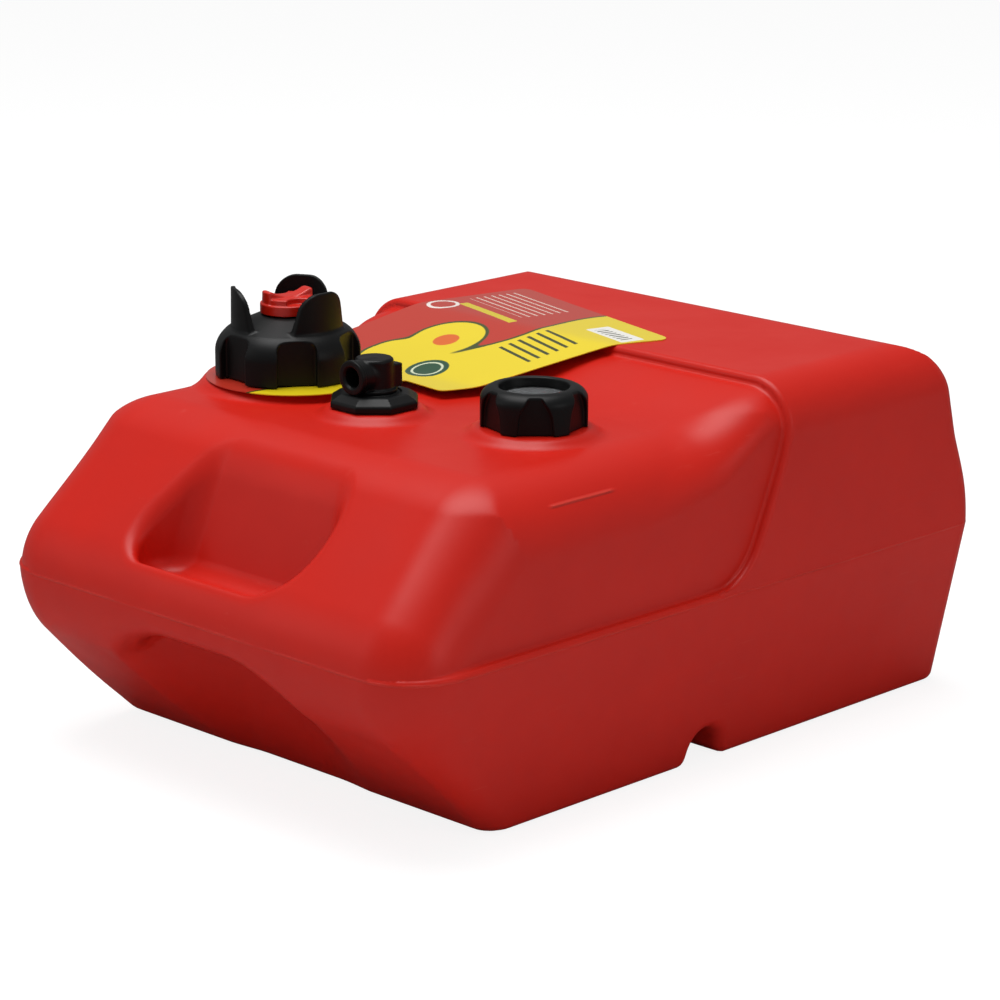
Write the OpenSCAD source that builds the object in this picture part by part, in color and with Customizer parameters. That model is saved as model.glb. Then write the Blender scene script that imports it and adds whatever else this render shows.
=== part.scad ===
// Portable outboard fuel tank: a blow-moulded body split at its mould line,
// a vented filler cap, a swivelling fuel outlet and a float-driven level gauge.
// Millimetres, +Z up, front (carrying handle) at -Y, origin at bottom centre.

/* [Tank body] */
// Overall length, handle nose to rear wall
tank_len = 472; // [420:1:520]
// Overall width at the mould line
tank_w = 345; // [300:1:380]
// Height of the rear deck
tank_h = 217; // [200:1:235]
// Height of the strip just in front of the rear deck
strip_z = 211.5; // [198:0.5:228]
// Height of the lower front deck
deck_z = 194; // [185:0.5:205]
// Height of the mould parting line
part_z = 104; // [98:1:110]
// Wall thickness of the body
wall = 3.5; // [2.5:0.1:4]
// Radius of the round handle nose
nose_r = 50; // [44:1:56]
// How far the nose centre lies below the parting line
nose_drop = 3.5; // [2:0.5:6]
// Slope of the front face above the nose, degrees
slope_up = 44.2; // [40:0.1:48]
// Steepness of the under-slope, degrees from vertical
slope_low = 45.5; // [42:0.1:49]
// Draft of the lower side walls, mm per mm
side_draft = 0.205; // [0.15:0.005:0.24]
// Draft of the upper rear wall, mm per mm
rear_draft = 0.256; // [0.2:0.005:0.3]
// Plan radius of the front corners at the parting line
corner_front = 38; // [30:1:46]
// Plan radius of the rear corners
corner_rear = 12; // [9:0.5:16]
// Edge radius of the rear deck
edge_rear = 30; // [24:1:34]
// Edge radius of the front deck and slope
edge_front = 41; // [34:1:45]
// Edge radius round the bottom
edge_bottom = 5; // [3:0.5:8]
// Inset of the front sides behind the ledge
side_inset = 5.5; // [3:0.5:8]
// Height of the ledge above the parting line
ledge_h = 3; // [2:0.5:4]
// Position of the step between the decks
step_y = 63.5; // [50:0.5:75]
// Forward lean of the step down the sides, mm per mm
step_lean = 0.47; // [0.35:0.01:0.55]

/* [Hand well and hollows] */
// Half width of the hand well at its front
well_hw = 73; // [66:1:75]
// Widening of the well towards its front, mm per mm
well_flare = 0.5; // [0.4:0.02:0.56]
// Offset of the well to the right
well_mid = 3; // [0:0.5:4]
// Drift of the well to the right towards its rear, mm per mm
well_skew = 0.08; // [0:0.01:0.1]
// Gap between the well front wall and the nose
well_bar = 12.5; // [11:0.5:18]
// Position of the rear rim of the well
well_rear = -171; // [-180:1:-160]
// Height of the well floor above the parting line
well_up = 10; // [8:0.5:14]
// Right front corner radius of the well
well_round = 46; // [36:1:52]
// Left front corner radius of the well
well_tight = 24; // [18:1:40]
// Half width of the mouth of the scoop under the handle
scoop_hw = 72; // [62:1:80]
// Narrowing of the scoop with its depth, mm per mm
scoop_flare = 0.6; // [0.3:0.05:0.8]
// Corner radius of the scoop
scoop_round = 36; // [24:1:42]
// Height of the scoop lip below the parting line
scoop_lip = 19; // [16:1:24]
// Height of the scoop ceiling below the parting line
scoop_top = 7; // [6.5:0.5:9]
// Position of the scoop rear wall at its ceiling
scoop_rear = -192; // [-198:1:-180]
// Position of the tie-down groove across the underside
groove_y = 17.5; // [0:0.5:30]
// Half width of the groove
groove_w = 10; // [8:0.5:14]
// Depth of the groove
groove_h = 20; // [14:1:24]

/* [Fitting positions] */
// Filler neck position across the tank
fill_x = -100; // [-106:1:-92]
// Filler neck position along the tank
fill_y = -70; // [-76:1:-62]
// Fuel outlet position across the tank
out_x = -9; // [-14:1:-4]
// Fuel outlet position along the tank
out_y = -87; // [-92:1:-80]
// Level gauge position across the tank
gauge_x = 86; // [80:1:92]
// Level gauge position along the tank
gauge_y = -56; // [-62:1:-50]
// Height of the fitting seats above the front deck
seat_h = 5; // [4:0.5:7]

/* [Filler neck and cap] */
// Bore radius of the filler neck
neck_bore = 21; // [18:0.5:21.5]
// Wall thickness of the neck
neck_wall = 3; // [2.5:0.1:3.2]
// Height of the neck above its seat
neck_h = 17; // [15:0.5:19]
// Depth of the cap thread
thread_d = 1.8; // [1.2:0.1:2]
// Lead of the two-start cap thread
thread_lead = 10; // [8:0.5:12]
// Outer radius of the cap
cap_r = 42.6; // [41:0.1:46]
// Height of the cap to its flat top
cap_h = 36; // [34:0.5:40]
// Height of the straight skirt of the cap
skirt_h = 18; // [14:0.5:20]
// Wall thickness of the cap
cap_wall = 2.5; // [2:0.1:2.8]
// Wall thickness of the threaded cup inside the cap
cup_wall = 3; // [2.4:0.1:3.2]
// Number of grip hollows round the cap
cap_hollows = 6; // [5:1:7]
// Width of one grip hollow
hollow_w = 23; // [18:0.5:25]
// Depth of one grip hollow
hollow_d = 6.6; // [5:0.1:7]
// Height of the grip hollows
hollow_h = 26; // [22:0.5:27]
// Height of the three fins above the cap foot
fin_h = 52; // [48:0.5:56]
// Ring radius of the fins
fin_ring = 31.5; // [29:0.5:33]
// Thickness of a fin
fin_t = 3; // [2:0.1:4]
// Width of a fin at its foot
fin_w = 39; // [32:0.5:42]
// Thickness of the cap gasket
gasket_t = 1.9; // [1.5:0.1:2.5]

/* [Vent in the cap] */
// Radius of the vent knob
knob_r = 16; // [14:0.1:17.5]
// Height of the knob foot
knob_foot = 6; // [5:0.1:7]
// Height of the knob ring above its foot
knob_ring = 3.3; // [2.5:0.1:4]
// Height of the whole knob at the ends of its grip
knob_h = 13.3; // [12:0.1:16]
// Width of the knob grip
grip_w = 10; // [8:0.1:12]
// Radius of the vent stem
stem_r = 3.5; // [2.5:0.1:4]
// Radius of the vent disc
disc_r = 9; // [7.5:0.1:11]
// Thickness of the vent disc
disc_t = 1.6; // [1.2:0.1:2]
// Section radius of the sealing rings
seal_r = 0.7; // [0.5:0.05:0.9]

/* [Fuel outlet] */
// Corner radius of the eight-sided flange
flange_r = 26.5; // [23:0.1:27.5]
// Height of the flange above its seat
flange_h = 8.5; // [7:0.1:10]
// Radius of the plug in the deck
plug_r = 15; // [13:0.1:17]
// Depth of the plug below its seat
plug_d = 19; // [18:0.5:24]
// Radius of the elbow socket in the flange
socket_r = 8; // [7.5:0.1:9]
// Radius of the elbow column
column_r = 11; // [10:0.1:12]
// Height of the elbow above its seat
elbow_h = 28; // [26:0.5:31]
// Height of the outlet port above its seat
port_z = 18.6; // [17:0.1:19.5]
// Outer radius of the outlet port
port_r = 9.3; // [8.5:0.1:9.8]
// Reach of the outlet port from the elbow axis
port_reach = 18; // [16:0.5:22]
// Tapping radius of the outlet port
port_bore = 5.6; // [4.4:0.1:6.2]
// Tapped depth of the outlet port
port_deep = 12; // [10:0.5:13]
// Radius of the fuel way through the elbow
way_r = 3.5; // [2.5:0.1:4]
// Outer radius of the pickup tube
tube_r = 5; // [4:0.1:6]
// Wall thickness of the pickup tube
tube_wall = 1.2; // [1:0.1:1.6]
// Gap between the strainer and the tank floor
foot_gap = 2.5; // [1:0.5:6]
// Length of the strainer
strain_h = 24; // [18:1:40]

/* [Level gauge] */
// Outer radius of the gauge ring
ring_r = 30; // [28.5:0.1:32]
// Height of the gauge ring above its seat
ring_h = 23; // [21.5:0.1:26]
// Radius of the gauge window
window_r = 19; // [16:0.1:20]
// Height of the window above the seat
window_z = 16.8; // [16:0.1:18]
// Number of grip notches round the gauge ring
notches = 6; // [5:1:8]
// Depth of a grip notch
notch_d = 4; // [3:0.1:4.5]
// Radius of the gauge body under the ring
body_r = 23.2; // [22:0.1:23.5]
// Radius of the gauge stalk through the deck
stalk_r = 16.8; // [16:0.1:18]
// Thickness of the window
lens_t = 2; // [1.5:0.1:2.5]
// Radius of the float
float_r = 15.2; // [14.5:0.1:15.5]
// Height of the float
float_h = 18; // [14:0.5:24]
// Travel of the float from empty to full
float_travel = 140; // [100:1:145]
// Turn of the pointer over that travel, degrees
pointer_turn = 270; // [180:5:300]
// Width of the twisted strip
strip_wide = 5; // [4:0.1:5.5]
// Thickness of the twisted strip
strip_t = 0.8; // [0.6:0.05:1.2]
// Radius of the guide rods
rod_r = 2; // [1.5:0.1:2.3]
// Distance of the guide rods from the strip
rod_x = 11; // [9:0.1:11.5]
// Height of the gauge foot above the tank floor
gauge_foot_z = 7; // [4:0.5:12]

/* [Label card] */
// Thickness of the printed card
card_t = 0.5; // [0.3:0.1:0.6]
// Radius of the card round the neck
card_r = 53; // [50:0.5:55]
// Hole radius of the card
card_hole = 26.5; // [26.2:0.1:30]
// Length of the card behind the step
card_rear = 77; // [60:1:85]
// Width of the card at its rear end
card_w = 165; // [150:1:172]

/* [Clearances] */
// Radial clearance of a turning or sliding round fit
run_gap = 0.06; // [0.02:0.01:0.08]
// Clearance between flat faces that move apart
face_gap = 0.2; // [0.1:0.05:0.4]
// Clearance round parts that pass each other freely
free_gap = 0.4; // [0.3:0.05:0.6]

/* [Hidden] */
half_l = tank_len / 2;
half_w = tank_w / 2;
seat_z = deck_z + seat_h;
nose_z = part_z - nose_drop;
nose_y = -half_l + nose_r / sqrt(sin(slope_up) * sin(slope_up) + cos(slope_low) * cos(slope_low));
red = [0.76, 0.2, 0.15];
seats = [[fill_x, fill_y, 49], [out_x, out_y, 28], [gauge_x, gauge_y, 34]];

function rmax(a, b, r) = let(u = max(a + r, 0), v = max(b + r, 0))
    min(max(a + r, b + r), 0) + sqrt(u * u + v * v) - r;
function rmin(a, b, r) = -rmax(-a, -b, r);
function ease(a, b, v) = let(t = min(max((v - a) / (b - a), 0), 1)) t * t * (3 - 2 * t);
function softpos(q, e) = (q + sqrt(q * q + e * e)) / 2;
function clamp(v, a, b) = min(max(v, a), b);

// Distance-like fields of the body: below zero is plastic or fuel space.
function f_side(x, z, inset) = abs(x) - (half_w - inset);
function f_wedge(y, z) =
    let(u = -sin(slope_up) * (y - nose_y) + cos(slope_up) * (z - nose_z) - nose_r,
        v = -cos(slope_low) * (y - nose_y) - sin(slope_low) * (z - nose_z) - nose_r)
    rmax(u, v, nose_r);
function f_walls(x, y, z) =
    let(h = max(z - part_z, 0), r = (y - (half_l - h * rear_draft * ease(-10, 60, h))) * 0.96)
    rmax(rmax(f_side(x, z, 0.004 * h), f_wedge(y, z), corner_front), r, corner_rear);
function f_front(x, y, z) =
    let(inset = side_inset * ease(-232, -172, y), deck = z - deck_z,
        ramp = (z - (deck_z + (y - (step_y - 44)) * 0.62)) * 0.85,
        top = rmax(rmin(deck, rmax(ramp, z - strip_z, 11), 13), f_wedge(y, z), 14),
        r = edge_rear - 4 + (edge_front - edge_rear + 4) * ease(0, 1, (step_y - 15 - y) / 45))
    max(rmax(f_side(x, z, inset), top, r), y - step_y - 66);
function step_at(z) =
    let(g = clamp(22 - (z - part_z - ledge_h), 0, 22))
    step_y - step_lean * softpos(part_z + 80 - z, 14) - (22 - sqrt(484 - g * g));
function f_rear(x, y, z) =
    rmax(rmax(f_walls(x, y, z), z - tank_h, edge_rear), (step_at(z) - y) * 0.93, 3.5);
function f_base(x, y, z) = rmax(f_walls(x, y, z), z - part_z - ledge_h, 3);
function slope_z(y) = nose_z + (nose_r + sin(slope_up) * (y - nose_y)) / cos(slope_up);
function top_z(y) = y < nose_y - nose_r * sin(slope_up)
    ? nose_z + sqrt(max(nose_r * nose_r - (y - nose_y) * (y - nose_y), 0)) : slope_z(y);
function well_plan(x, y, z) =
    let(r = (y - (well_rear - (slope_z(well_rear) - z) * 0.3)) * 0.957,
        f = -y - (half_l - well_bar - (130 - z) * 0.05),
        d = y + half_l - 20,
        c = abs(x - well_mid - d * well_skew) - (well_hw - d * well_flare + (z - 140) * 0.05),
        k = well_tight + (well_round - well_tight) * ease(-14, 20, x))
    rmax(rmax(c, f, k), r, 9);
function f_well(x, y, z) = rmax(well_plan(x, y, z), part_z + well_up - z, 9);
function f_seats(x, y, z) =
    min([for (s = seats)
        rmax(norm([x - s[0], y - s[1]]) - s[2] - min(seat_z - z, 8) * 0.6, z - seat_z, 2.5)]);
function f_upper(x, y, z) =
    let(a = rmin(min(f_base(x, y, z), f_rear(x, y, z)), f_front(x, y, z), 2.2 * ease(-232, -190, y)),
        b = z < deck_z - 45 || y > step_y ? a : rmin(a, f_seats(x, y, z), seat_h * 0.98))
    y > well_rear + 24 ? b : rmax(b, -f_well(x, y, z), 8.5);
function f_shell_low(x, y, z) =
    let(h = max(part_z - z, 0), rf = corner_front - (corner_front - 12) * ease(0, 85, h))
    rmax(rmax(f_side(x, z, side_draft * h) * 0.98, f_wedge(y, z), rf),
         y - (half_l - h * 0.01), corner_rear);
function f_scoop(x, y, z) =
    let(zc = part_z - scoop_top, zl = part_z - scoop_lip,
        lip = z - (zl + softpos(y + half_l - 14, 10) * 1.2),
        r = (y - (scoop_rear + (zc - z) * 0.35)) * 0.95,
        d = max(cos(slope_low) * (y - nose_y) + sin(slope_low) * (z - nose_z) + nose_r, 0),
        s = (abs(x) - scoop_hw + d * scoop_flare) / norm([1, scoop_flare]))
    rmax(rmax(rmax(z - zc, lip, 6), r, 20), s, scoop_round);
function f_groove(x, y, z) =
    rmax(abs(y - groove_y) - groove_w - (groove_h - z) * 0.2, z - groove_h, 9);
function f_lower(x, y, z) =
    let(d = rmax(f_shell_low(x, y, z), -z, edge_bottom))
    rmax(rmax(d, -f_scoop(x, y, z), 11), -f_groove(x, y, z), 7);
// The inner skins stay clear of the narrow lip in front of the hand well.
function f_skin(i, p) =
    i == 0 ? f_upper(p[0], p[1], p[2]) :
    i == 1 ? f_lower(p[0], p[1], p[2]) :
    i == 2 ? max(f_upper(p[0], p[1], p[2]) + wall,
                 p[2] - part_z - well_up + wall - 2.5 * softpos(p[1] + half_l - 13, 2)) :
    f_lower(p[0], p[1], p[2]) + wall;

// Where a ray from an inside point p along d leaves the skin i.
function leave(i, p, d, a, b, n) =
    let(m = (a + b) / 2)
    n == 0 ? p + d * m :
    f_skin(i, p + d * m) < 0 ? leave(i, p, d, m, b, n - 1) : leave(i, p, d, a, m, n - 1);
function trace(i, p, d, t, f) =
    let(s = max(5, -f * 0.9), g = f_skin(i, p + d * (t + s)))
    g > 0 || t > 420 ? leave(i, p, d, t, t + s, 12) : trace(i, p, d, t + s, g);
function hit(i, p, d) = trace(i, p, d, 0, f_skin(i, p));

// Grid lines of the inside rectangle the skins are traced from.
function span(a, b, n) = [for (k = [0:n - 1]) a + (b - a) * k / n];
core_x = half_w - 55;
core_front = -half_l + 7;
core_rear = half_l - 58;
core_mid = well_rear + 32;
wx = well_hw - 24;
xs_half = concat(span(0, wx, 3), span(wx, wx + 12, 2), span(wx + 12, core_x, 3), [core_x]);
xs = concat([for (k = [len(xs_half) - 1:-1:1]) -xs_half[k]], xs_half);
ys_front = concat(span(core_front, core_front + 12, 2), span(core_front + 12, core_mid, 6));
ys_rear = concat(
    span(core_mid, -8, 8), span(-8, groove_y - groove_w - 5, 1),
    [for (k = [-1.5, -1.1, -0.6, 0, 0.6, 1.1, 1.5]) groove_y + k * groove_w],
    span(step_y - 26, step_y - 5, 3), [step_y - 3, step_y - 0.5, step_y + 2],
    span(step_y + 6, core_rear, 6), [core_rear]);
ys = concat(ys_front, ys_rear);
nx = len(xs);
ny = len(ys);
nf = len(ys_front);

// Perimeter columns, anticlockwise from the front left: [grid i, grid j, plan direction].
front_turn = [-48, -28, -17, -9, -4];
rear_turn = [22, 39, 46.5, 54, 71];
function turn(i, j, a) = [for (k = a) [i, j, k]];
function back(a, s) = [for (k = [len(a) - 1:-1:0]) s - a[k]];
columns = concat(
    [for (k = [0:nx - 1]) [k, 0, -90]], turn(nx - 1, 0, front_turn),
    [for (k = [0:ny - 1]) [nx - 1, k, 0]], turn(nx - 1, ny - 1, rear_turn),
    [for (k = [nx - 1:-1:0]) [k, ny - 1, 90]], turn(0, ny - 1, back(rear_turn, 180)),
    [for (k = [ny - 1:-1:0]) [0, k, 180]], turn(0, 0, back(front_turn, 180)));
nc = len(columns);
function core(c) = [xs[c[0]], ys[c[1]], part_z];
function reach(k) = norm(rim_out[k] - core(columns[k]));

// Fan rows: on the sides the rays lean with the step, so rows follow its edge.
function lean_at(z, y) =
    (step_y - step_at(z)) * ease(part_z + 84, part_z + 70, z) *
    min(ease(-60, step_y, y), ease(core_rear, step_y, y));
function aim(c, v, k = [1, 1]) =
    let(p = [cos(c[2]) * k[0], sin(c[2]) * k[1]], q = p * v[0] / norm(p), d = [q[0], q[1], v[1]])
    d / norm(d);
// Upward rays: [0, h] reaches height h on the wall, [1, a] has the elevation a.
function up_dir(k, q) =
    let(c = columns[k], e = q[0] == 0 ? atan(q[1] / reach(k)) : q[1],
        h = min((half_w - core_x) * tan(e), tank_h - edge_rear / 2 - part_z),
        s = abs(cos(c[2])) < 0.99 ? 0 : lean_at(part_z + h, ys[c[1]]) / (half_w - core_x),
        t = c[2] > 0 ? 1 - rear_draft * h * ease(-10, 60, h) / (half_l - core_rear) : 1,
        d = aim(c, [cos(e), sin(e)], [1, t]) - [0, s * cos(e), 0])
    d / norm(d);
// Downward rays: to depth share h and run share w of the walls, or evenly round the nose.
function down_dir(k, q) =
    let(c = columns[k], h = part_z * q[0],
        t = min(c[2], 180 - c[2]) < 0 ? 1 : 1 - side_draft * h / (half_w - core_x),
        side = t == 1 && abs(cos(c[2])) > 0.7 ? side_draft * abs(cos(c[2])) * h : 0,
        r = reach(k) * norm([cos(c[2]) * t, sin(c[2])]) - side,
        w = ease(-80, -20, min(c[2], 180 - c[2])), e = atan(h / (max(r, 4) * q[1])))
    aim(c, let(a = w * e + (1 - w) * q[2]) [cos(a), -sin(a)], [t, 1]);
function fan_up(i, q) = [for (k = [0:nc - 1]) hit(i, core(columns[k]), up_dir(k, q))];
function fan_down(i, q) = [for (k = [0:nc - 1]) hit(i, core(columns[k]), down_dir(k, q))];
function plumb(i, x, y, up) = hit(i, [x, y, part_z], [0, 0, up ? 1 : -1]);

// Rings round the hand well, from its middle out to the front block of the grid.
ring_ij = concat(
    [for (k = [0:nx - 1]) [k, 0]], [for (k = [1:nf]) [nx - 1, k]],
    [for (k = [nx - 2:-1:0]) [k, nf]], [for (k = [nf - 1:-1:1]) [0, k]]);
nr = len(ring_ij);
well_c = [well_mid, (well_rear - half_l + well_bar) / 2];
well_z = part_z + well_up;
function well_edge(v, z, lev, a, b, n) =
    let(m = (a + b) / 2, q = well_c + v * m)
    n == 0 ? m : well_plan(q[0], q[1], z) < lev ? well_edge(v, z, lev, m, b, n - 1)
                                                : well_edge(v, z, lev, a, m, n - 1);
function ring_point(i, v, t) = plumb(i, well_c[0] + v[0] * t, well_c[1] + v[1] * t, true);
function ring_set(v) =
    let(e = 1 / norm(v), low = well_edge(v, well_z, 0, 0, 1, 14),
        mid = well_edge(v, well_z + 14, 0, 0, 1, 14),
        top = well_edge(v, top_z(well_c[1] + v[1] * mid), 0, 0, 1.02, 14))
    [for (t = [low * 0.5, low - 8 * e, low - 3 * e, low - 0.8 * e, low + (top - low) * 0.35,
               low + (top - low) * 0.7, top, top + min(2.5 * e, (1 - top) * 0.35),
               top + min(7 * e, (1 - top) * 0.65), top + (1 - top) * 0.8])
        ring_point(0, v, t)];
function ring_in(v) =
    let(e = 1 / norm(v), low = well_edge(v, well_z, wall, 0, 1, 14),
        mid = well_edge(v, well_z + 14, wall, 0, 1, 14),
        top = well_edge(v, top_z(well_c[1] + v[1] * mid), wall, 0, 1.02, 14))
    [ring_point(2, v, min(low, 0.9) * 0.5), ring_point(2, v, min(low, 0.9)),
     ring_point(2, v, min(top + e, 0.94)), ring_point(2, v, min(top + 8 * e, 0.97))];

// Faces between two closed loops of vertex numbers; the shorter diagonal is used.
function pair(v, a, b, c, d) =
    let(s = norm(v[a] - v[c]) <= norm(v[b] - v[d]),
        f = s ? [[a, b, c], [a, c, d]] : [[a, b, d], [b, c, d]])
    [for (t = f) if (t[0] != t[1] && t[1] != t[2] && t[2] != t[0]) t];
function loops(v, p, q) =
    [for (k = [0:len(p) - 1]) let(n = (k + 1) % len(p)) each pair(v, p[k], p[n], q[n], q[k])];
function from(a, n) = [for (k = [0:n - 1]) a + k];
function flip(f) = [for (t = f) [t[2], t[1], t[0]]];
function moved(f, k) = [for (t = f) [t[0] + k, t[1] + k, t[2] + k]];

// One skin: [vertices, faces facing outward, rim loop]; its first row is the rim.
function skin_low(i, rim, list) =
    let(rows = [for (q = list) fan_down(i, q)],
        grid = [for (y = ys) for (x = xs) plumb(i, x, y, false)],
        m = len(list) + 1, g0 = m * nc,
        v = concat(rim, [for (r = rows) each r], grid),
        edge = [for (c = columns) g0 + c[1] * nx + c[0]],
        fan = [for (r = [0:m - 2]) each loops(v, from(r * nc, nc), from((r + 1) * nc, nc))],
        last = loops(v, from((m - 1) * nc, nc), edge),
        flat = [for (j = [0:ny - 2]) for (k = [0:nx - 2]) let(a = g0 + j * nx + k)
            each pair(v, a, a + 1, a + nx + 1, a + nx)])
    [v, concat(fan, last, flat)];
function skin_up(i, rim, list) =
    let(rows = [for (q = list) fan_up(i, q)],
        vs = [for (c = ring_ij) [xs[c[0]] - well_c[0], ys[c[1]] - well_c[1]]],
        sets = [for (w = vs) i == 0 ? ring_set(w) : ring_in(w)],
        border = [for (c = ring_ij) plumb(i, xs[c[0]], ys[c[1]], true)],
        grid = [for (j = [nf + 1:ny - 1]) for (x = xs) plumb(i, x, ys[j], true)],
        m = len(list) + 1, b0 = m * nc, g0 = b0 + nr, r0 = g0 + len(grid), n = len(sets[0]),
        v = concat(rim, [for (r = rows) each r], border, grid,
                   [for (q = [0:n - 1]) for (s = sets) s[q]],
                   [plumb(i, well_c[0], well_c[1], true)]),
        mid = r0 + n * nr)
    [v, concat(
        [for (r = [0:m - 2]) each loops(v, from(r * nc, nc), from((r + 1) * nc, nc))],
        loops(v, from((m - 1) * nc, nc), [for (c = columns) up_index(c, b0, g0)]),
        [for (j = [nf:ny - 2]) for (k = [0:nx - 2])
            each pair(v, up_index([k, j], b0, g0), up_index([k + 1, j], b0, g0),
                      up_index([k + 1, j + 1], b0, g0), up_index([k, j + 1], b0, g0))],
        loops(v, from(b0, nr), from(r0 + (n - 1) * nr, nr)),
        [for (q = [n - 1:-1:1]) each loops(v, from(r0 + q * nr, nr), from(r0 + (q - 1) * nr, nr))],
        [for (k = [0:nr - 1]) [r0 + k, r0 + (k + 1) % nr, mid]])];
// Vertex number of grid point [i, j] in an upper skin.
function up_index(c, b0, g0) =
    c[1] > nf ? g0 + (c[1] - nf - 1) * nx + c[0] :
    b0 + (c[1] == 0 ? c[0] : c[0] == nx - 1 ? nx - 1 + c[1] :
          c[1] == nf ? nx - 1 + nf + nx - 1 - c[0] : nr - c[1]);

rim_out = [for (c = columns) hit(0, core(c), aim(c, [1, 0]))];
rim_in = [for (c = columns) hit(2, core(c), aim(c, [1, 0]))];
// A shell: outer skin, inner skin turned inside out, and the rim between them.
module shell(a, b, up) {
    n = len(a[0]);
    v = concat(a[0], b[0]);
    rim = loops(v, from(n, nc), from(0, nc));
    f = concat(a[1], flip(moved(b[1], n)), rim);
    polyhedron(v, up ? flip(f) : f, convexity = 8);
}

module tank_upper_shell() color(red) difference() {
    union() {
        for (s = seats) translate([s[0], s[1], 0])
            turned(seat_z - wall - 0.5, [[0, 0], [s[2] + 1, 0], [s[2] - 1.5, wall - 0.5],
                                         [s[2] - 2.5, wall + 0.44], [0, wall + 0.44]]);
        shell(skin_up(0, rim_out, [[0, 1.8], [0, 2.9], [0, 3.6], [1, 10], [1, 21], [1, 32], [1, 43],
                               [1, 50], [1, 55], [1, 60], [1, 65], [1, 71], [1, 77], [1, 83]]),
          skin_up(2, rim_in, [[1, 18], [1, 36], [1, 50], [1, 60], [1, 72]]), true);
    }
    deck_hole(fill_x, fill_y, neck_bore + neck_wall + 0.1);
    deck_hole(out_x, out_y, plug_r + 0.1);
    deck_hole(gauge_x, gauge_y, stalk_r + 0.1);
}
module deck_hole(x, y, r) { translate([x, y, deck_z - 20]) cylinder(r = r, h = 60, $fn = 48); }
module tank_lower_shell() color(red)
    shell(skin_low(1, rim_out, [[0.25, 1, 14], [0.5, 1, 28], [0.75, 1, 42], [0.94, 1, 54],
                                [0.985, 0.99, 63], [1, 0.96, 72], [1, 0.88, 80]]),
          skin_low(3, rim_in, [[0.3, 1, 20], [0.6, 1, 40], [0.9, 1, 60], [1, 0.9, 75]]), false);

black = [0.13, 0.14, 0.15];
$fn = 48;
eps = 0.05;

// Ring with a straight bore, standing on z.
module ring(z, h, outer, inner) {
    translate([0, 0, z]) difference() {
        cylinder(r = outer, h = h);
        translate([0, 0, -1]) cylinder(r = inner, h = h + 2);
    }
}
// Solid of revolution from [radius, height] points.
module turned(z, points) {
    translate([0, 0, z]) rotate_extrude() polygon(points);
}
// Points of an arc for a turned profile.
function arc(cr, cz, r, a, b, n) =
    [for (k = [0:n]) let(t = a + (b - a) * k / n) [cr + r * cos(t), cz + r * sin(t)]];
module at_fill() { translate([fill_x, fill_y, 0]) children(); }
module at_out() { translate([out_x, out_y, 0]) children(); }
module at_gauge() { translate([gauge_x, gauge_y, 0]) children(); }

// One start of a thread: a tooth from the root radius to the crest radius.
module tooth(root, crest, z, turns, lead, start) {
    n = ceil(turns * 20);
    s = root < crest ? 1 : -1;
    function q(k) =
        let(a = start + 360 * turns * k / n, h = z + turns * lead * k / n, c = cos(a), d = sin(a))
        [[root * c, root * d, h - 1.3], [crest * c, crest * d, h - 0.7],
         [crest * c, crest * d, h + 0.7], [root * c, root * d, h + 1.3]];
    v = [for (k = [0:n]) each q(k)];
    side = [for (k = [0:n - 1]) for (j = [0:3]) let(a = 4 * k + j, b = 4 * k + (j + 1) % 4)
        each [[a, b, b + 4], [a, b + 4, a + 4]]];
    ends = [[0, 2, 1], [0, 3, 2], [4 * n, 4 * n + 1, 4 * n + 2], [4 * n, 4 * n + 2, 4 * n + 3]];
    f = concat(side, ends);
    polyhedron(v, s > 0 ? f : flip(f), convexity = 6);
}

// Filler neck.
neck_r = neck_bore + neck_wall;
neck_top = seat_z + neck_h;
neck_foot = seat_z - wall - 1;
thread_z = neck_top - thread_lead - 1.5;
module filler_neck() color(red) at_fill() {
    difference() {
        union() {
            cylinder(r = neck_r, h = neck_top);
            for (a = [0, 180]) tooth(neck_r - 0.5, neck_r + thread_d, thread_z, 0.95, thread_lead, a);
        }
        translate([0, 0, -1]) cylinder(r = neck_r + 5, h = neck_foot + 1);
        cylinder(r = neck_bore, h = neck_top + 1);
    }
}

// Label card: a disc round the neck whose tail climbs on to the rear deck.
card_top = seat_z + card_t;
card_low = max(strip_z + 0.6, tank_h + 0.1);
card_y0 = fill_y + card_r;
function card_z(y) =
    seat_z + (card_low - seat_z) * clamp((y - card_y0) / (step_y - 1 - card_y0), 0, 1);
card_ys = [fill_y - card_r - 5, card_y0, step_y - 1, step_y + card_rear + 5];
card_tip = [card_w / 2 - 32, step_y + card_rear - 43];
card_end = [card_tip[0] - card_w * 0.969, card_tip[1] + card_w * 0.26];
module card_plan() {
    polygon([[fill_x + 47, fill_y + 38], [out_x - 10.5, out_y + 43], [out_x + 1, out_y + 46],
             [out_x + 6, out_y + 50], card_tip - [2, 6], card_tip + [-1, 1], card_tip + [-7, 4],
             card_end + [7, -3], card_end + [1, -1], card_end + [-1, -7], [fill_x - 34, step_y - 9],
             [fill_x - 44, fill_y + 28]]);
    translate([fill_x + 5, fill_y + 2]) circle(r = card_r);
}
module label_card() color([0.93, 0.83, 0.25]) difference() {
    intersection() {
        linear_extrude(card_low + 20) card_plan();
        rotate([90, 0, 90]) translate([0, 0, -half_w]) linear_extrude(tank_w)
            polygon(concat([for (y = card_ys) [y, card_z(y)]],
                           [for (k = [3:-1:0]) [card_ys[k], card_z(card_ys[k]) + card_t]]));
    }
    at_fill() cylinder(r = card_hole, h = card_low + 30);
}

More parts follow.
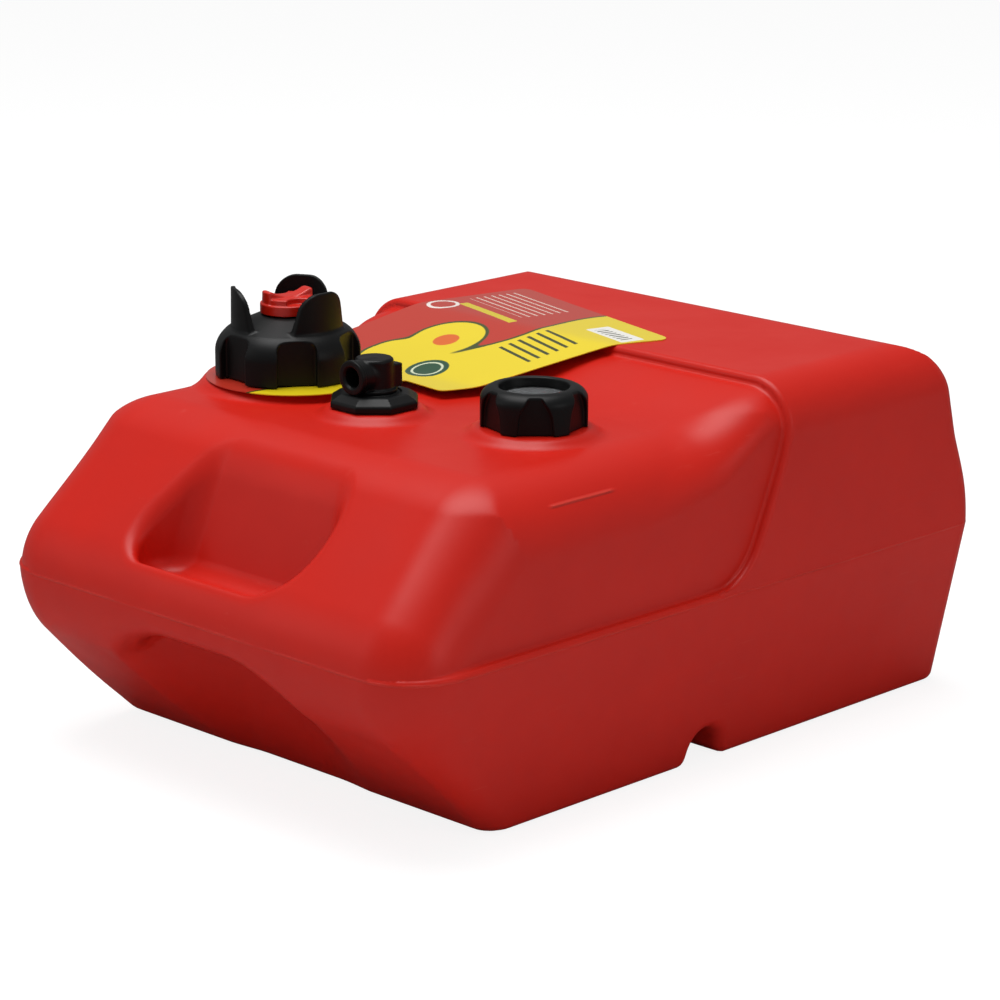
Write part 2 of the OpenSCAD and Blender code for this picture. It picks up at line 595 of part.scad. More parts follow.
// Filler cap: fluted shell with three fins, threaded cup, gasket and vent.
cap_z = card_top + free_gap + face_gap;
cap_flat = knob_r + 1;
cup_in = neck_r + thread_d + free_gap;
cup_r = cup_in + cup_wall;
plate_z = neck_top + face_gap + gasket_t;
plate_t = cup_wall;
cup_h = skirt_h + 9;
function cap_line(w) = concat(
    [[0, 0], [cap_r - w, 0]], arc(cap_r - 9, skirt_h, 9 - w, 0, 66, 6),
    [[cap_flat + 0.7, cap_h - 1.1 - w], [cap_flat, cap_h - 0.3 - w],
     [cap_flat - 0.8, cap_h - w], [0, cap_h - w]]);
// A grip hollow: the space outside a flat wall at distance d, with round top corners.
module hollow(d, w, h, r) {
    translate([d, 0, 0]) rotate([90, 0, 90]) linear_extrude(cap_r) {
        translate([-w / 2, -1]) square([w, h - r + 1]);
        translate([-w / 2 + r, -1]) square([w - 2 * r, h + 1]);
        for (s = [-1, 1]) translate([s * (w / 2 - r), h - r]) circle(r = r);
    }
}
module hollows(w) {
    for (k = [0:cap_hollows - 1]) rotate(-34.6 + 360 * k / cap_hollows)
        hollow(cap_r - hollow_d - w, hollow_w + 2 * w, hollow_h + w, 6 + w);
}
module fin(a) {
    rotate(a) intersection() {
        ring(hollow_h - 3, fin_h, fin_ring + fin_t / 2, fin_ring - fin_t / 2);
        rotate([90, 0, 90]) linear_extrude(cap_r) {
            w = fin_w / 2;
            polygon([[-w - 1, hollow_h - 4], [w + 1, hollow_h - 4], [w, hollow_h + 2],
                     [w * 0.78, fin_h - 7], [w * 0.68, fin_h - 3], [w * 0.5, fin_h - 0.8],
                     [w * 0.3, fin_h], [-w * 0.3, fin_h], [-w * 0.5, fin_h - 0.8],
                     [-w * 0.68, fin_h - 3], [-w * 0.78, fin_h - 7], [-w, hollow_h + 2]]);
        }
    }
}
module cap_shell() color(black) at_fill() translate([0, 0, cap_z]) {
    difference() {
        union() {
            difference() {
                turned(0, cap_line(0));
                hollows(0);
            }
            for (a = [0, 120, 240]) fin(a);
        }
        difference() {
            turned(-eps, cap_line(cap_wall));
            hollows(cap_wall);
        }
        cylinder(r = stem_r + free_gap, h = cap_h + 1);
    }
}
module cap_inner_cup() color(black) at_fill() {
    difference() {
        union() {
            ring(cap_z + 1, cup_h - 1, cup_r, cup_in);
            translate([0, 0, plate_z]) cylinder(r = cup_in + 1, h = plate_t);
            for (a = [0, 180])
                tooth(cup_in + 0.5, neck_r + 0.5, thread_z + thread_lead / 4, 0.5, thread_lead, a);
        }
        translate([0, 0, plate_z - 1]) cylinder(r = stem_r + free_gap + 0.4, h = plate_t + 2);
        for (a = [45:90:315]) rotate(a) translate([stem_r + 2.4, 0, plate_z - 1])
            cylinder(r = 0.8, h = plate_t + 2, $fn = 24);
    }
}
module cap_gasket() color([0.2, 0.2, 0.2]) at_fill()
    ring(neck_top + face_gap / 2, gasket_t, cup_in - free_gap / 2, neck_bore);

// Vent: the knob lifts the stem, disc and seal off the cup plate.
vent_z = plate_z + plate_t;
disc_z = vent_z + 2 * seal_r + 0.04;
knob_z = cap_z + cap_h + face_gap;
stem_top = knob_z + knob_foot;
module vent_stem() color([0.75, 0.75, 0.72]) at_fill()
    translate([0, 0, disc_z - 0.6]) cylinder(r = stem_r, h = stem_top - disc_z + 0.6);
module vent_disc() color([0.75, 0.75, 0.72]) at_fill() ring(disc_z, disc_t, disc_r, stem_r + 0.01);
module vent_seal() color([0.1, 0.1, 0.1]) at_fill()
    turned(vent_z + seal_r + 0.02, arc(disc_r - 1.2, 0, seal_r, 0, 345, 23));
spring_z = disc_z + disc_t;
spring_top = cap_z + cap_h - cap_wall - eps;
module vent_spring() color([0.7, 0.7, 0.7]) at_fill()
    ring(spring_z, spring_top - spring_z, disc_r - 1.6, stem_r + free_gap + 0.6);
module vent_knob() color([0.85, 0.16, 0.12]) at_fill() translate([0, 0, knob_z]) {
    difference() {
        union() {
            turned(0, [[0, 0], [knob_r - 0.4, 0], [knob_r, 0.4], [knob_r, knob_foot - 0.8],
                       [knob_r - 0.8, knob_foot], [0, knob_foot]]);
            translate([0, 0, knob_foot - eps]) cylinder(r = knob_r - 1.6, h = knob_ring + eps);
            rotate(75) intersection() {
                cylinder(r = knob_r - 1, h = knob_h);
                translate([-knob_r, -grip_w / 2, 0]) cube([2 * knob_r, grip_w, knob_h]);
            }
        }
        rotate(75) translate([0, grip_w, knob_h + 18]) rotate([90, 0, 0])
            cylinder(r = 21.5, h = 2 * grip_w, $fn = 96);
        translate([0, 0, -1]) cylinder(r = stem_r + run_gap, h = knob_foot + 1 + face_gap);
    }
}

// Fuel outlet: fixed flange, swivelling elbow, pickup tube and strainer.
flange_z = seat_z + 1;
socket_end = seat_z - 9;
plug_z = seat_z - plug_d;
chamber_r = socket_r + 1.5;
module pickup_gasket() color([0.15, 0.15, 0.15]) at_out()
    ring(seat_z, 1, flange_r * 0.86, plug_r + free_gap);
module pickup_base() color(black) at_out() difference() {
    union() {
        intersection() {
            translate([0, 0, flange_z]) rotate(22.5) cylinder(r = flange_r, h = flange_h - 1, $fn = 8);
            turned(flange_z, [[0, 0], [flange_r - 1.2, 0], [flange_r + 0.6, 1.8],
                              [flange_r + 0.6, flange_h - 5.4], [flange_r - 5.5, flange_h - 1.3],
                              [flange_r - 6.5, flange_h - 1], [0, flange_h - 1]]);
        }
        translate([0, 0, plug_z]) cylinder(r = plug_r, h = plug_d + 1.5);
    }
    translate([0, 0, socket_end]) cylinder(r = socket_r, h = 30);
    translate([0, 0, plug_z + 4]) cylinder(r = chamber_r, h = socket_end - plug_z - 4);
    translate([0, 0, plug_z - 1]) cylinder(r = tube_r + run_gap, h = 10);
}
spigot_r = socket_r - run_gap;
spigot_z = plug_z + 5.5;
collar_z = seat_z + flange_h + face_gap / 2;
column_h = seat_z + elbow_h - collar_z;
seal_z = seat_z - 1;
snap_z = socket_end - 0.2 - 1.4;
module pickup_elbow() color(black) at_out() difference() {
    union() {
        translate([0, 0, spigot_z]) cylinder(r = spigot_r, h = collar_z - spigot_z + 1);
        translate([0, 0, collar_z]) cylinder(r = column_r + 2, h = 2);
        turned(collar_z, [[0, 0], [column_r, 0], [column_r, column_h - 2.5],
                          [column_r - 0.8, column_h - 0.7], [column_r - 2.5, column_h], [0, column_h]]);
        translate([0, 0, seat_z + port_z]) rotate([90, 0, 0]) cylinder(r = port_r, h = port_reach);
        translate([0, -port_reach + 3, seat_z + port_z]) rotate([90, 0, 0])
            cylinder(r = port_r + 0.7, h = 3);
        translate([-column_r + 2, 0, collar_z + 2])
            cube([2 * column_r - 4, column_r + 3, column_h - 6]);
    }
    translate([0, -port_reach + port_deep, seat_z + port_z]) rotate([90, 0, 0])
        cylinder(r = port_bore, h = port_deep + 1);
    translate([0, 0, seat_z + port_z]) rotate([90, 0, 0]) cylinder(r = way_r, h = port_reach);
    translate([0, 0, spigot_z - 1]) cylinder(r = way_r, h = seat_z + port_z - spigot_z + 1);
    ring(seal_z - 1, 2, socket_r + 1, spigot_r - 1.5);
    ring(snap_z - 0.1, 1.6, chamber_r, spigot_r - 1.1);
}
module elbow_seal() color([0.08, 0.08, 0.08]) at_out()
    turned(seal_z, arc(socket_r - run_gap - seal_r, 0, seal_r, 0, 345, 23));
module elbow_snap_ring() color([0.7, 0.7, 0.7]) at_out() difference() {
    ring(snap_z, 1.3, chamber_r - 0.3, spigot_r - 1.05);
    translate([0, -1.2, snap_z - 1]) cube([chamber_r + 1, 2.4, 4]);
}
strain_z = wall + foot_gap;
module pickup_tube() color([0.85, 0.86, 0.84]) at_out()
    ring(strain_z + 4, plug_z + 4 - strain_z - 4, tube_r, tube_r - tube_wall);
module pickup_strainer() color([0.2, 0.35, 0.6]) at_out() difference() {
    translate([0, 0, strain_z]) cylinder(r = tube_r + 2, h = strain_h);
    translate([0, 0, strain_z + 4]) cylinder(r = tube_r + 0.02, h = strain_h);
    translate([0, 0, strain_z + 1.6]) cylinder(r = tube_r - tube_wall, h = 5);
    for (k = [0:5]) rotate(60 * k) translate([1, -0.8, strain_z + 1.6]) cube([tube_r + 3, 1.6, 2.2]);
}

// Level gauge: ring, window, dial, pointer, and a float that turns a twisted strip.
ring_in_r = body_r + 0.3;
lens_z = seat_z + window_z - lens_t;
dial_z = seat_z + 7.6;
pointer_z = dial_z + 1.8;
stalk_z = seat_z - 14;
foot_z = wall + gauge_foot_z;
foot_t = 3;
bear_r = 1.5;
module gauge_gasket() color([0.15, 0.15, 0.15]) at_gauge() ring(seat_z, 1, body_r, stalk_r + 0.3);
module gauge_ring() color(black) at_gauge() difference() {
    turned(seat_z + face_gap, concat(
        [[ring_in_r, 0], [ring_r - 0.6, 0], [ring_r, 0.6], [ring_r, 14.5]],
        arc(ring_r - 8, 14.5, 8, 12, 90, 6), [[window_r + 2, ring_h - face_gap]],
        [[window_r + 0.9, ring_h - 0.5 - face_gap], [window_r + 0.3, ring_h - 1.8 - face_gap],
         [window_r, window_z + 0.1 - face_gap], [ring_in_r, window_z + 0.1 - face_gap]]));
    for (k = [0:notches - 1]) rotate(-44.6 + 360 * k / notches)
        translate([ring_r - notch_d, 0, seat_z]) rotate([90, 0, 90]) linear_extrude(10)
            polygon([[-10, -1], [10, -1], [8.6, 13], [5.2, 18.5], [-5.2, 18.5], [-8.6, 13]]);
}
module gauge_lens() color([0.8, 0.82, 0.85, 0.5]) at_gauge()
    translate([0, 0, lens_z]) cylinder(r = body_r, h = lens_t);
module gauge_lens_seal() color([0.1, 0.1, 0.1]) at_gauge()
    ring(lens_z - 0.7, 0.7, body_r, body_r - 3.5);
module gauge_body() color(black) at_gauge() difference() {
    union() {
        translate([0, 0, stalk_z]) cylinder(r = stalk_r, h = seat_z - stalk_z + 2);
        translate([0, 0, seat_z + 1]) cylinder(r = body_r, h = lens_z - 0.7 - seat_z - 1);
    }
    translate([0, 0, dial_z]) cylinder(r = body_r - 2.7, h = 20);
    translate([0, 0, seat_z + 3]) cylinder(r = body_r - 5, h = 20);
    translate([0, 0, stalk_z - 1]) cylinder(r = bear_r + run_gap, h = 30);
    for (s = [-1, 1]) translate([s * rod_x, 0, stalk_z - 1]) cylinder(r = rod_r + run_gap, h = 11);
}
module gauge_dial() color([0.9, 0.9, 0.88]) at_gauge()
    ring(dial_z, 0.8, body_r - 2.75, 2.6);
module gauge_pointer() color([0.85, 0.15, 0.1]) at_gauge() translate([0, 0, pointer_z]) {
    difference() {
        union() {
            cylinder(r = 3.2, h = 1);
            rotate(135) linear_extrude(0.8) polygon(
                [[0, -1.4], [body_r - 8, -0.5], [body_r - 7, 0], [body_r - 8, 0.5], [0, 1.4]]);
        }
        translate([0, 0, -1]) cylinder(r = bear_r + 0.02, h = 3);
    }
}
module gauge_rods() color([0.8, 0.8, 0.8]) at_gauge()
    for (s = [-1, 1]) translate([s * rod_x, 0, foot_z]) cylinder(r = rod_r, h = stalk_z + 10 - foot_z);
module gauge_foot() color(black) at_gauge() difference() {
    translate([0, 0, foot_z]) cylinder(r = float_r, h = foot_t);
    translate([0, 0, foot_z - 1]) cylinder(r = bear_r + run_gap, h = foot_t + 2);
    for (s = [-1, 1]) translate([s * rod_x, 0, foot_z - 1]) cylinder(r = rod_r + 0.02, h = foot_t + 2);
}
float_z = foot_z + foot_t + face_gap + 1.4;
strip_z0 = foot_z + foot_t + face_gap + 1.2;
strip_z1 = stalk_z - face_gap - 1.2;
slot_z = float_z + float_h - 0.6;
twist_mm = pointer_turn / float_travel;
module gauge_strip() color([0.8, 0.75, 0.5]) at_gauge() {
    n = 44;
    v = [for (k = [0:n]) let(z = strip_z0 - eps + (strip_z1 - strip_z0 + 2 * eps) * k / n,
                             a = twist_mm * (z - slot_z), c = cos(a), d = sin(a))
        for (q = [[-1, -1], [1, -1], [1, 1], [-1, 1]])
            let(x = q[0] * strip_wide / 2, y = q[1] * strip_t / 2) [x * c - y * d, x * d + y * c, z]];
    polyhedron(v, concat(
        [for (k = [0:n - 1]) for (j = [0:3]) let(a = 4 * k + j, b = 4 * k + (j + 1) % 4)
            each [[b, a, a + 4], [b, a + 4, b + 4]]],
        [[0, 1, 2], [0, 2, 3], [4 * n, 4 * n + 2, 4 * n + 1], [4 * n, 4 * n + 3, 4 * n + 2]]),
        convexity = 8);
    translate([0, 0, strip_z0 - 1.2]) cylinder(r = 3, h = 1.2);
    translate([0, 0, strip_z1]) cylinder(r = 3, h = 1.2);
    translate([0, 0, foot_z + 0.4]) cylinder(r = bear_r, h = strip_z0 - foot_z - 1);
    translate([0, 0, strip_z1 + 1]) cylinder(r = bear_r, h = pointer_z + 1 - strip_z1 - 1);
}
module gauge_float() color([0.86, 0.78, 0.55]) at_gauge() difference() {
    translate([0, 0, float_z]) cylinder(r = float_r, h = float_h);
    translate([0, 0, float_z - 1]) cylinder(r = 3 + free_gap, h = float_h - 0.2);
    translate([-strip_wide / 2 - free_gap, -strip_t / 2 - free_gap - 0.2, float_z])
        cube([strip_wide + 2 * free_gap, strip_t + 2 * free_gap + 0.4, float_h + 1]);
    for (s = [-1, 1]) translate([s * rod_x, 0, float_z - 1])
        cylinder(r = rod_r + free_gap, h = float_h + 2);
}

tank_upper_shell();
tank_lower_shell();
filler_neck();
label_card();
cap_shell();
cap_inner_cup();
cap_gasket();
vent_stem();
vent_disc();
vent_seal();
vent_spring();
vent_knob();
pickup_gasket();
pickup_base();
pickup_elbow();
elbow_seal();
elbow_snap_ring();
pickup_tube();
pickup_strainer();
gauge_gasket();
gauge_ring();
gauge_lens();
gauge_lens_seal();
gauge_body();
gauge_dial();
gauge_pointer();
gauge_rods();
gauge_foot();
gauge_strip();
gauge_float();
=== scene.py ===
"""Looks of a portable outboard fuel tank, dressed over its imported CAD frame.

Millimetre forms are written as fields that are negative inside the plastic, the way
the part's source writes them; a fine skin is drawn over each field and shaded.
"""

import logging
import math
from dataclasses import dataclass, field
from enum import Enum
from typing import Any, Callable, Dict, List, Optional, Sequence, Tuple

import bmesh
import bpy
import numpy as np
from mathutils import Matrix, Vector


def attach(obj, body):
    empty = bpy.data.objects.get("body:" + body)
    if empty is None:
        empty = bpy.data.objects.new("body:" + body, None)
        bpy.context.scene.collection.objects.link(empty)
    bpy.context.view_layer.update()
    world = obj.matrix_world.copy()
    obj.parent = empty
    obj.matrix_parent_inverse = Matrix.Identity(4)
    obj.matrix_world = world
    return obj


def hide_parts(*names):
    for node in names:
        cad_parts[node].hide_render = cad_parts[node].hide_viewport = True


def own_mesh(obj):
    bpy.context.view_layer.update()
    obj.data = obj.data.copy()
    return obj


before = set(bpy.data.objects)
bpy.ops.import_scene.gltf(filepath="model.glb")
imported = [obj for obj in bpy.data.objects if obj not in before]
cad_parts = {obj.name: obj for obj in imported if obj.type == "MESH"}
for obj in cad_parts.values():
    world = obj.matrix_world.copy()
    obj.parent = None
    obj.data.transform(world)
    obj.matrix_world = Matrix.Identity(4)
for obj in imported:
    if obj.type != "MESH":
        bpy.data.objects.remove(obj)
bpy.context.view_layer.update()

logging.basicConfig(level=logging.INFO, format="%(message)s")
LOG = logging.getLogger("tank")

MM = 0.001
Array = np.ndarray
Field = Callable[[Array, Array, Array], Array]
Piece = bpy.types.Object
Tree = bpy.types.NodeTree
Node = bpy.types.Node
Material = bpy.types.Material


class Body(Enum):
    """The CAD bodies that the pieces ride on."""

    TANK = "tank"
    CAP = "cap"
    KNOB = "knob"
    ELBOW = "elbow"


def stand(name: str, data: Any) -> Piece:
    """Makes an object of a mesh, lamp or camera and links it to the scene.

    Args:
        name: the object's name.
        data: its mesh, lamp or camera.

    Returns:
        The linked object.
    """
    made = bpy.data.objects.new(name, data)
    bpy.context.scene.collection.objects.link(made)
    return made


# ---------------------------------------------------------------- field tools


def rmax(a: Array, b: Array, r: Any) -> Array:
    """Intersects two fields with an edge of radius r (mm), one value or one for each point."""
    u, v = np.maximum(a + r, 0), np.maximum(b + r, 0)
    return np.minimum(np.maximum(a + r, b + r), 0) + np.sqrt(u * u + v * v) - r


def rmin(a: Array, b: Array, r: Any) -> Array:
    """Unites two fields with a fillet of radius r (mm)."""
    return -rmax(-a, -b, r)


def ease(a: float, b: float, v: Array) -> Array:
    """Smooth step of v from 0 at a to 1 at b."""
    t = np.clip((v - a) / (b - a), 0, 1)
    return t * t * (3 - 2 * t)


def softpos(q: Array, e: float) -> Array:
    """Positive part of q with a rounded corner of size e."""
    return (q + np.sqrt(q * q + e * e)) / 2


def sector(x: Array, y: Array, count: int, turn: float = 0.0) -> Tuple[Array, Array]:
    """Folds a plan into one of several equal sectors.

    Args:
        x: places along X (mm).
        y: places along Y (mm).
        count: how many sectors make the round.
        turn: direction of the first sector's middle (degrees).

    Returns:
        The place along the sector's middle line and the distance from it.
    """
    step = 2 * math.pi / count
    a = (np.arctan2(y, x) - math.radians(turn) + step / 2) % step - step / 2
    r = np.hypot(x, y)
    return r * np.cos(a), np.abs(r * np.sin(a))


def lines(*spans: Tuple[float, float, float]) -> Array:
    """Grid lines through spans of (from, to, spacing).

    Args:
        spans: neighbouring stretches, each with its own spacing in mm.

    Returns:
        The sorted line positions.
    """
    parts = [np.linspace(a, b, max(2, int(round((b - a) / s)) + 1))[:-1] for a, b, s in spans]
    return np.concatenate(parts + [np.array([spans[-1][1]])])


def even(lo: float, hi: float, cell: float) -> Array:
    """Evenly spaced grid lines over [lo, hi] with one cell to spare on each side."""
    return lines((lo - cell * 1.3, hi + cell * 1.3, cell))


class Skin:
    """A fine quad skin over a field, with normals from the field itself."""

    ROUNDS = 4
    PROBE = 0.04

    def __init__(self, form: Field, xs: Array, ys: Array, zs: Array, flat: Optional[float] = None) -> None:
        """Draws the skin: one point in each cell that the surface crosses.

        Args:
            form: the field, negative inside.
            xs: grid lines along X (mm).
            ys: grid lines along Y (mm).
            zs: grid lines along Z (mm).
            flat: height of an open rim, or None for a closed skin.
        """
        self.form, self.axes = form, (xs, ys, zs)
        self.values = form(*np.meshgrid(xs, ys, zs, indexing="ij"))
        inside = self.values < 0
        self.cells = tuple(n - 1 for n in self.values.shape)
        self.count, self.total = np.zeros(self.cells), np.zeros(self.cells + (3,))
        for ax in range(3):
            self._cross(inside, ax)
        active = self.count > 0
        ids = np.full(self.cells, -1)
        ids[active] = np.arange(active.sum())
        self.points = self.total[active] / self.count[active][:, None]
        self.quads = np.concatenate([self._quads(inside, ids, ax) for ax in range(3)])
        self.rim = np.zeros(len(self.points), bool)
        if flat is not None:
            layer = np.zeros(self.cells, bool)
            layer[:, :, 0 if abs(zs[0] - flat) < abs(zs[-1] - flat) else -1] = True
            self.rim = layer[active]
            self.points[self.rim, 2] = flat
        self._settle(float(min(np.diff(xs).min(), np.diff(ys).min(), np.diff(zs).min())))

    def _cross(self, inside: Array, ax: int) -> None:
        """Adds the crossings on the grid edges along one axis to the cells round them.

        Args:
            inside: True at the grid points inside the form.
            ax: the axis of the edges.
        """
        lo, hi = [slice(None)] * 3, [slice(None)] * 3
        lo[ax], hi[ax] = slice(None, -1), slice(1, None)
        cut = inside[tuple(lo)] != inside[tuple(hi)]
        here, there = self.values[tuple(lo)], self.values[tuple(hi)]
        share = np.where(cut, here / np.where(cut, here - there, 1), 0)
        others = [k for k in range(3) if k != ax]
        for corner in ((0, 0), (0, 1), (1, 0), (1, 1)):
            part = [slice(None)] * 3
            for k, d in zip(others, corner):
                part[k] = slice(d, d + self.cells[k])
            c, t = cut[tuple(part)], share[tuple(part)]
            self.count += c
            for k in range(3):
                grid, shape = self.axes[k], [1, 1, 1]
                shape[k] = -1
                if k == ax:
                    place = grid[:-1].reshape(shape) + t * np.diff(grid).reshape(shape)
                else:
                    d = corner[others.index(k)]
                    place = grid[d : d + self.cells[k]].reshape(shape)
                self.total[..., k] += c * place

    @staticmethod
    def _quads(inside: Array, ids: Array, ax: int) -> Array:
        """Quads round every grid edge along ax that the surface cuts.

        Args:
            inside: True at the grid points inside the form.
            ids: each cell's point number, or -1.
            ax: the axis of the edges.

        Returns:
            Four point numbers for each quad, with the normal outwards.
        """
        b, c = (ax + 1) % 3, (ax + 2) % 3
        i = np.moveaxis(inside, (ax, b, c), (0, 1, 2))
        n = np.moveaxis(ids, (ax, b, c), (0, 1, 2))
        here, there = i[:-1, 1:-1, 1:-1], i[1:, 1:-1, 1:-1]
        cut = here != there
        around = (n[:, :-1, :-1], n[:, 1:, :-1], n[:, 1:, 1:], n[:, :-1, 1:])
        quads = np.stack([ring[cut] for ring in around], 1)
        quads[~here[cut]] = quads[~here[cut]][:, ::-1]
        return quads[(quads >= 0).all(1)]

    def slope(self, places: Array) -> Array:
        """Gradient of the field at the given places.

        Args:
            places: one place in each row (mm).

        Returns:
            The gradient at each place.
        """
        g = np.empty_like(places)
        for k in range(3):
            d = np.zeros(3)
            d[k] = self.PROBE
            g[:, k] = (self.form(*(places + d).T) - self.form(*(places - d).T)) / (2 * self.PROBE)
        return g

    def _settle(self, cell: float) -> None:
        """Moves every point on to the surface, by steps of a cell at most, and takes its normal.

        Args:
            cell: the longest step (mm).
        """
        for _ in range(self.ROUNDS):
            g = self.slope(self.points)
            g[self.rim, 2] = 0
            step = self.form(*self.points.T) / np.maximum((g * g).sum(1), 0.05)
            self.points -= np.clip(step, -cell, cell)[:, None] * g
        g = self.slope(self.points)
        self.normals = g / np.maximum(np.linalg.norm(g, axis=1), 1e-9)[:, None]

    def mesh(self, name: str, at: Sequence[float] = (0, 0, 0), turn: float = 0.0) -> Piece:
        """Makes the Blender object.

        Args:
            name: the piece's name.
            at: where the field's origin stands in the frame (mm).
            turn: turn about Z (degrees) before it is moved.

        Returns:
            The linked object, at the origin, with its place in its mesh.
        """
        c, s = math.cos(math.radians(turn)), math.sin(math.radians(turn))
        rot = np.array([[c, -s, 0], [s, c, 0], [0, 0, 1]])
        data = bpy.data.meshes.new(name)
        points = (self.points @ rot.T + np.array(at)) * MM
        data.vertices.add(len(points))
        data.vertices.foreach_set("co", points.astype(np.float32).ravel())
        data.loops.add(self.quads.size)
        data.loops.foreach_set("vertex_index", self.quads.astype(np.int32).ravel())
        data.polygons.add(len(self.quads))
        data.polygons.foreach_set("loop_start", np.arange(0, self.quads.size, 4, dtype=np.int32))
        data.update(calc_edges=True)
        data.polygons.foreach_set("use_smooth", np.ones(len(self.quads), bool))
        data.validate()
        data.normals_split_custom_set_from_vertices((self.normals @ rot.T).tolist())
        return stand(name, data)


# ------------------------------------------------------------------- finishes


def srgb(code: str) -> Tuple[float, float, float, float]:
    """Linear colour of an sRGB hex code.

    Args:
        code: six hex digits.

    Returns:
        Red, green, blue and an alpha of 1.
    """
    raw = [int(code[k : k + 2], 16) / 255 for k in (0, 2, 4)]
    r, g, b = (c / 12.92 if c <= 0.04045 else ((c + 0.055) / 1.055) ** 2.4 for c in raw)
    return (r, g, b, 1.0)


def add(tree: Tree, kind: str, inputs: Optional[Dict[Any, Any]] = None, **settings: Any) -> Node:
    """Adds one node with its settings and links.

    Args:
        tree: the node tree.
        kind: the node's type name.
        inputs: socket name or number to a value or to an output socket.
        settings: the node's own properties.

    Returns:
        The node.
    """
    node = tree.nodes.new(kind)
    for key, value in settings.items():
        setattr(node, key, value)
    for key, value in (inputs or {}).items():
        if isinstance(value, bpy.types.NodeSocket):
            tree.links.new(value, node.inputs[key])
        else:
            node.inputs[key].default_value = value
    return node


@dataclass(frozen=True)
class Finish:
    """A moulded, drawn or printed surface: its colours, gloss and grain."""

    name: str
    light: str
    dark: str
    roughness: float
    grain_mm: float
    grain_height_mm: float
    wave_mm: float = 40.0
    wave_height_mm: float = 0.0
    scuff: float = 0.0
    metallic: float = 0.0
    ior: float = 1.5
    coat: float = 0.0
    rub: str = "3A3A3A"
    specular: float = 0.5

    def start(self) -> Tuple[Material, Tree, Node, Any]:
        """Opens the material.

        Returns:
            The material, its tree, its shader node and its Object coordinates.
        """
        mat = bpy.data.materials.new(self.name)
        mat.use_nodes = True
        tree = mat.node_tree
        tree.nodes.clear()
        plain = {"Roughness": self.roughness, "Metallic": self.metallic, "Specular IOR Level": self.specular}
        varnish = {"Coat Weight": self.coat, "Coat Roughness": 0.12}
        shader = add(tree, "ShaderNodeBsdfPrincipled", {**plain, **varnish})
        if not self.metallic:
            shader.inputs["IOR"].default_value = self.ior
        add(tree, "ShaderNodeOutputMaterial", {"Surface": shader.outputs[0]})
        return mat, tree, shader, add(tree, "ShaderNodeTexCoord").outputs["Object"]

    def dress(self, tree: Tree, shader: Node, at: Any) -> Tuple[Any, Any]:
        """Adds grain, waves, mottling and scuffs.

        Args:
            tree: the material's tree.
            shader: its Principled node.
            at: its Object coordinates.

        Returns:
            The colour socket and the height socket (mm), before they are linked.
        """
        noise, maths = "ShaderNodeTexNoise", "ShaderNodeMath"
        size = {"Scale": 1 / (self.grain_mm * MM), "Detail": 3.0, "Roughness": 0.6}
        grain = add(tree, noise, {"Vector": at, **size})
        wave = add(tree, noise, {"Vector": at, "Scale": 1 / (self.wave_mm * MM), "Detail": 2.0}).outputs[0]
        inks = {0: wave, 6: srgb(self.light), 7: srgb(self.dark)}
        colour = add(tree, "ShaderNodeMix", inks, data_type="RGBA").outputs[2]
        fine = add(tree, maths, {0: grain.outputs[0], 1: self.grain_height_mm}, operation="MULTIPLY")
        high = {0: wave, 1: self.wave_height_mm, 2: fine.outputs[0]}
        height = add(tree, maths, high, operation="MULTIPLY_ADD").outputs[0]
        gloss = {0: wave, 1: 0.3, 2: 0.7, 3: self.roughness * 0.92, 4: self.roughness * 1.1}
        rough = add(tree, "ShaderNodeMapRange", gloss).outputs[0]
        if self.scuff:
            mark = self.scuffs(tree, at)
            rubbed = {0: mark, 6: colour, 7: srgb(self.rub)}
            colour = add(tree, "ShaderNodeMix", rubbed, data_type="RGBA").outputs[2]
            rough = add(tree, maths, {0: mark, 1: 0.3, 2: rough}, operation="MULTIPLY_ADD").outputs[0]
        tree.links.new(rough, shader.inputs["Roughness"])
        return colour, height

    def scuffs(self, tree: Tree, at: Any) -> Any:
        """Rub marks: short streaks, only where a coarse mask lets them show.

        Args:
            tree: the material's tree.
            at: its Object coordinates.

        Returns:
            The socket of how far each place is rubbed.
        """
        stretch = add(tree, "ShaderNodeMapping", {"Vector": at, "Scale": (180.0, 40.0, 420.0)})
        streak = add(tree, "ShaderNodeTexNoise", {"Vector": stretch.outputs[0], "Scale": 1.0, "Detail": 2.0})
        thin = add(tree, "ShaderNodeMapRange", {0: streak.outputs[0], 1: 0.66, 2: 0.8, 3: 0.0, 4: self.scuff})
        patch = add(tree, "ShaderNodeTexNoise", {"Vector": at, "Scale": 14.0, "Detail": 1.0})
        mask = add(tree, "ShaderNodeMapRange", {0: patch.outputs[0], 1: 0.5, 2: 0.66})
        both = {0: thin.outputs[0], 1: mask.outputs[0]}
        return add(tree, "ShaderNodeMath", both, operation="MULTIPLY").outputs[0]

    def close(self, tree: Tree, shader: Node, colour: Any, height: Any) -> None:
        """Links the colour and turns the height (mm) into relief.

        Args:
            tree: the material's tree.
            shader: its Principled node.
            colour: the colour socket.
            height: the height socket (mm).
        """
        tree.links.new(colour, shader.inputs["Base Color"])
        bump = add(tree, "ShaderNodeBump", {"Strength": 1.0, "Distance": MM, "Height": height})
        tree.links.new(bump.outputs[0], shader.inputs["Normal"])

    def build(self) -> Material:
        """The finished material.

        Returns:
            The material.
        """
        mat, tree, shader, at = self.start()
        self.close(tree, shader, *self.dress(tree, shader, at))
        return mat


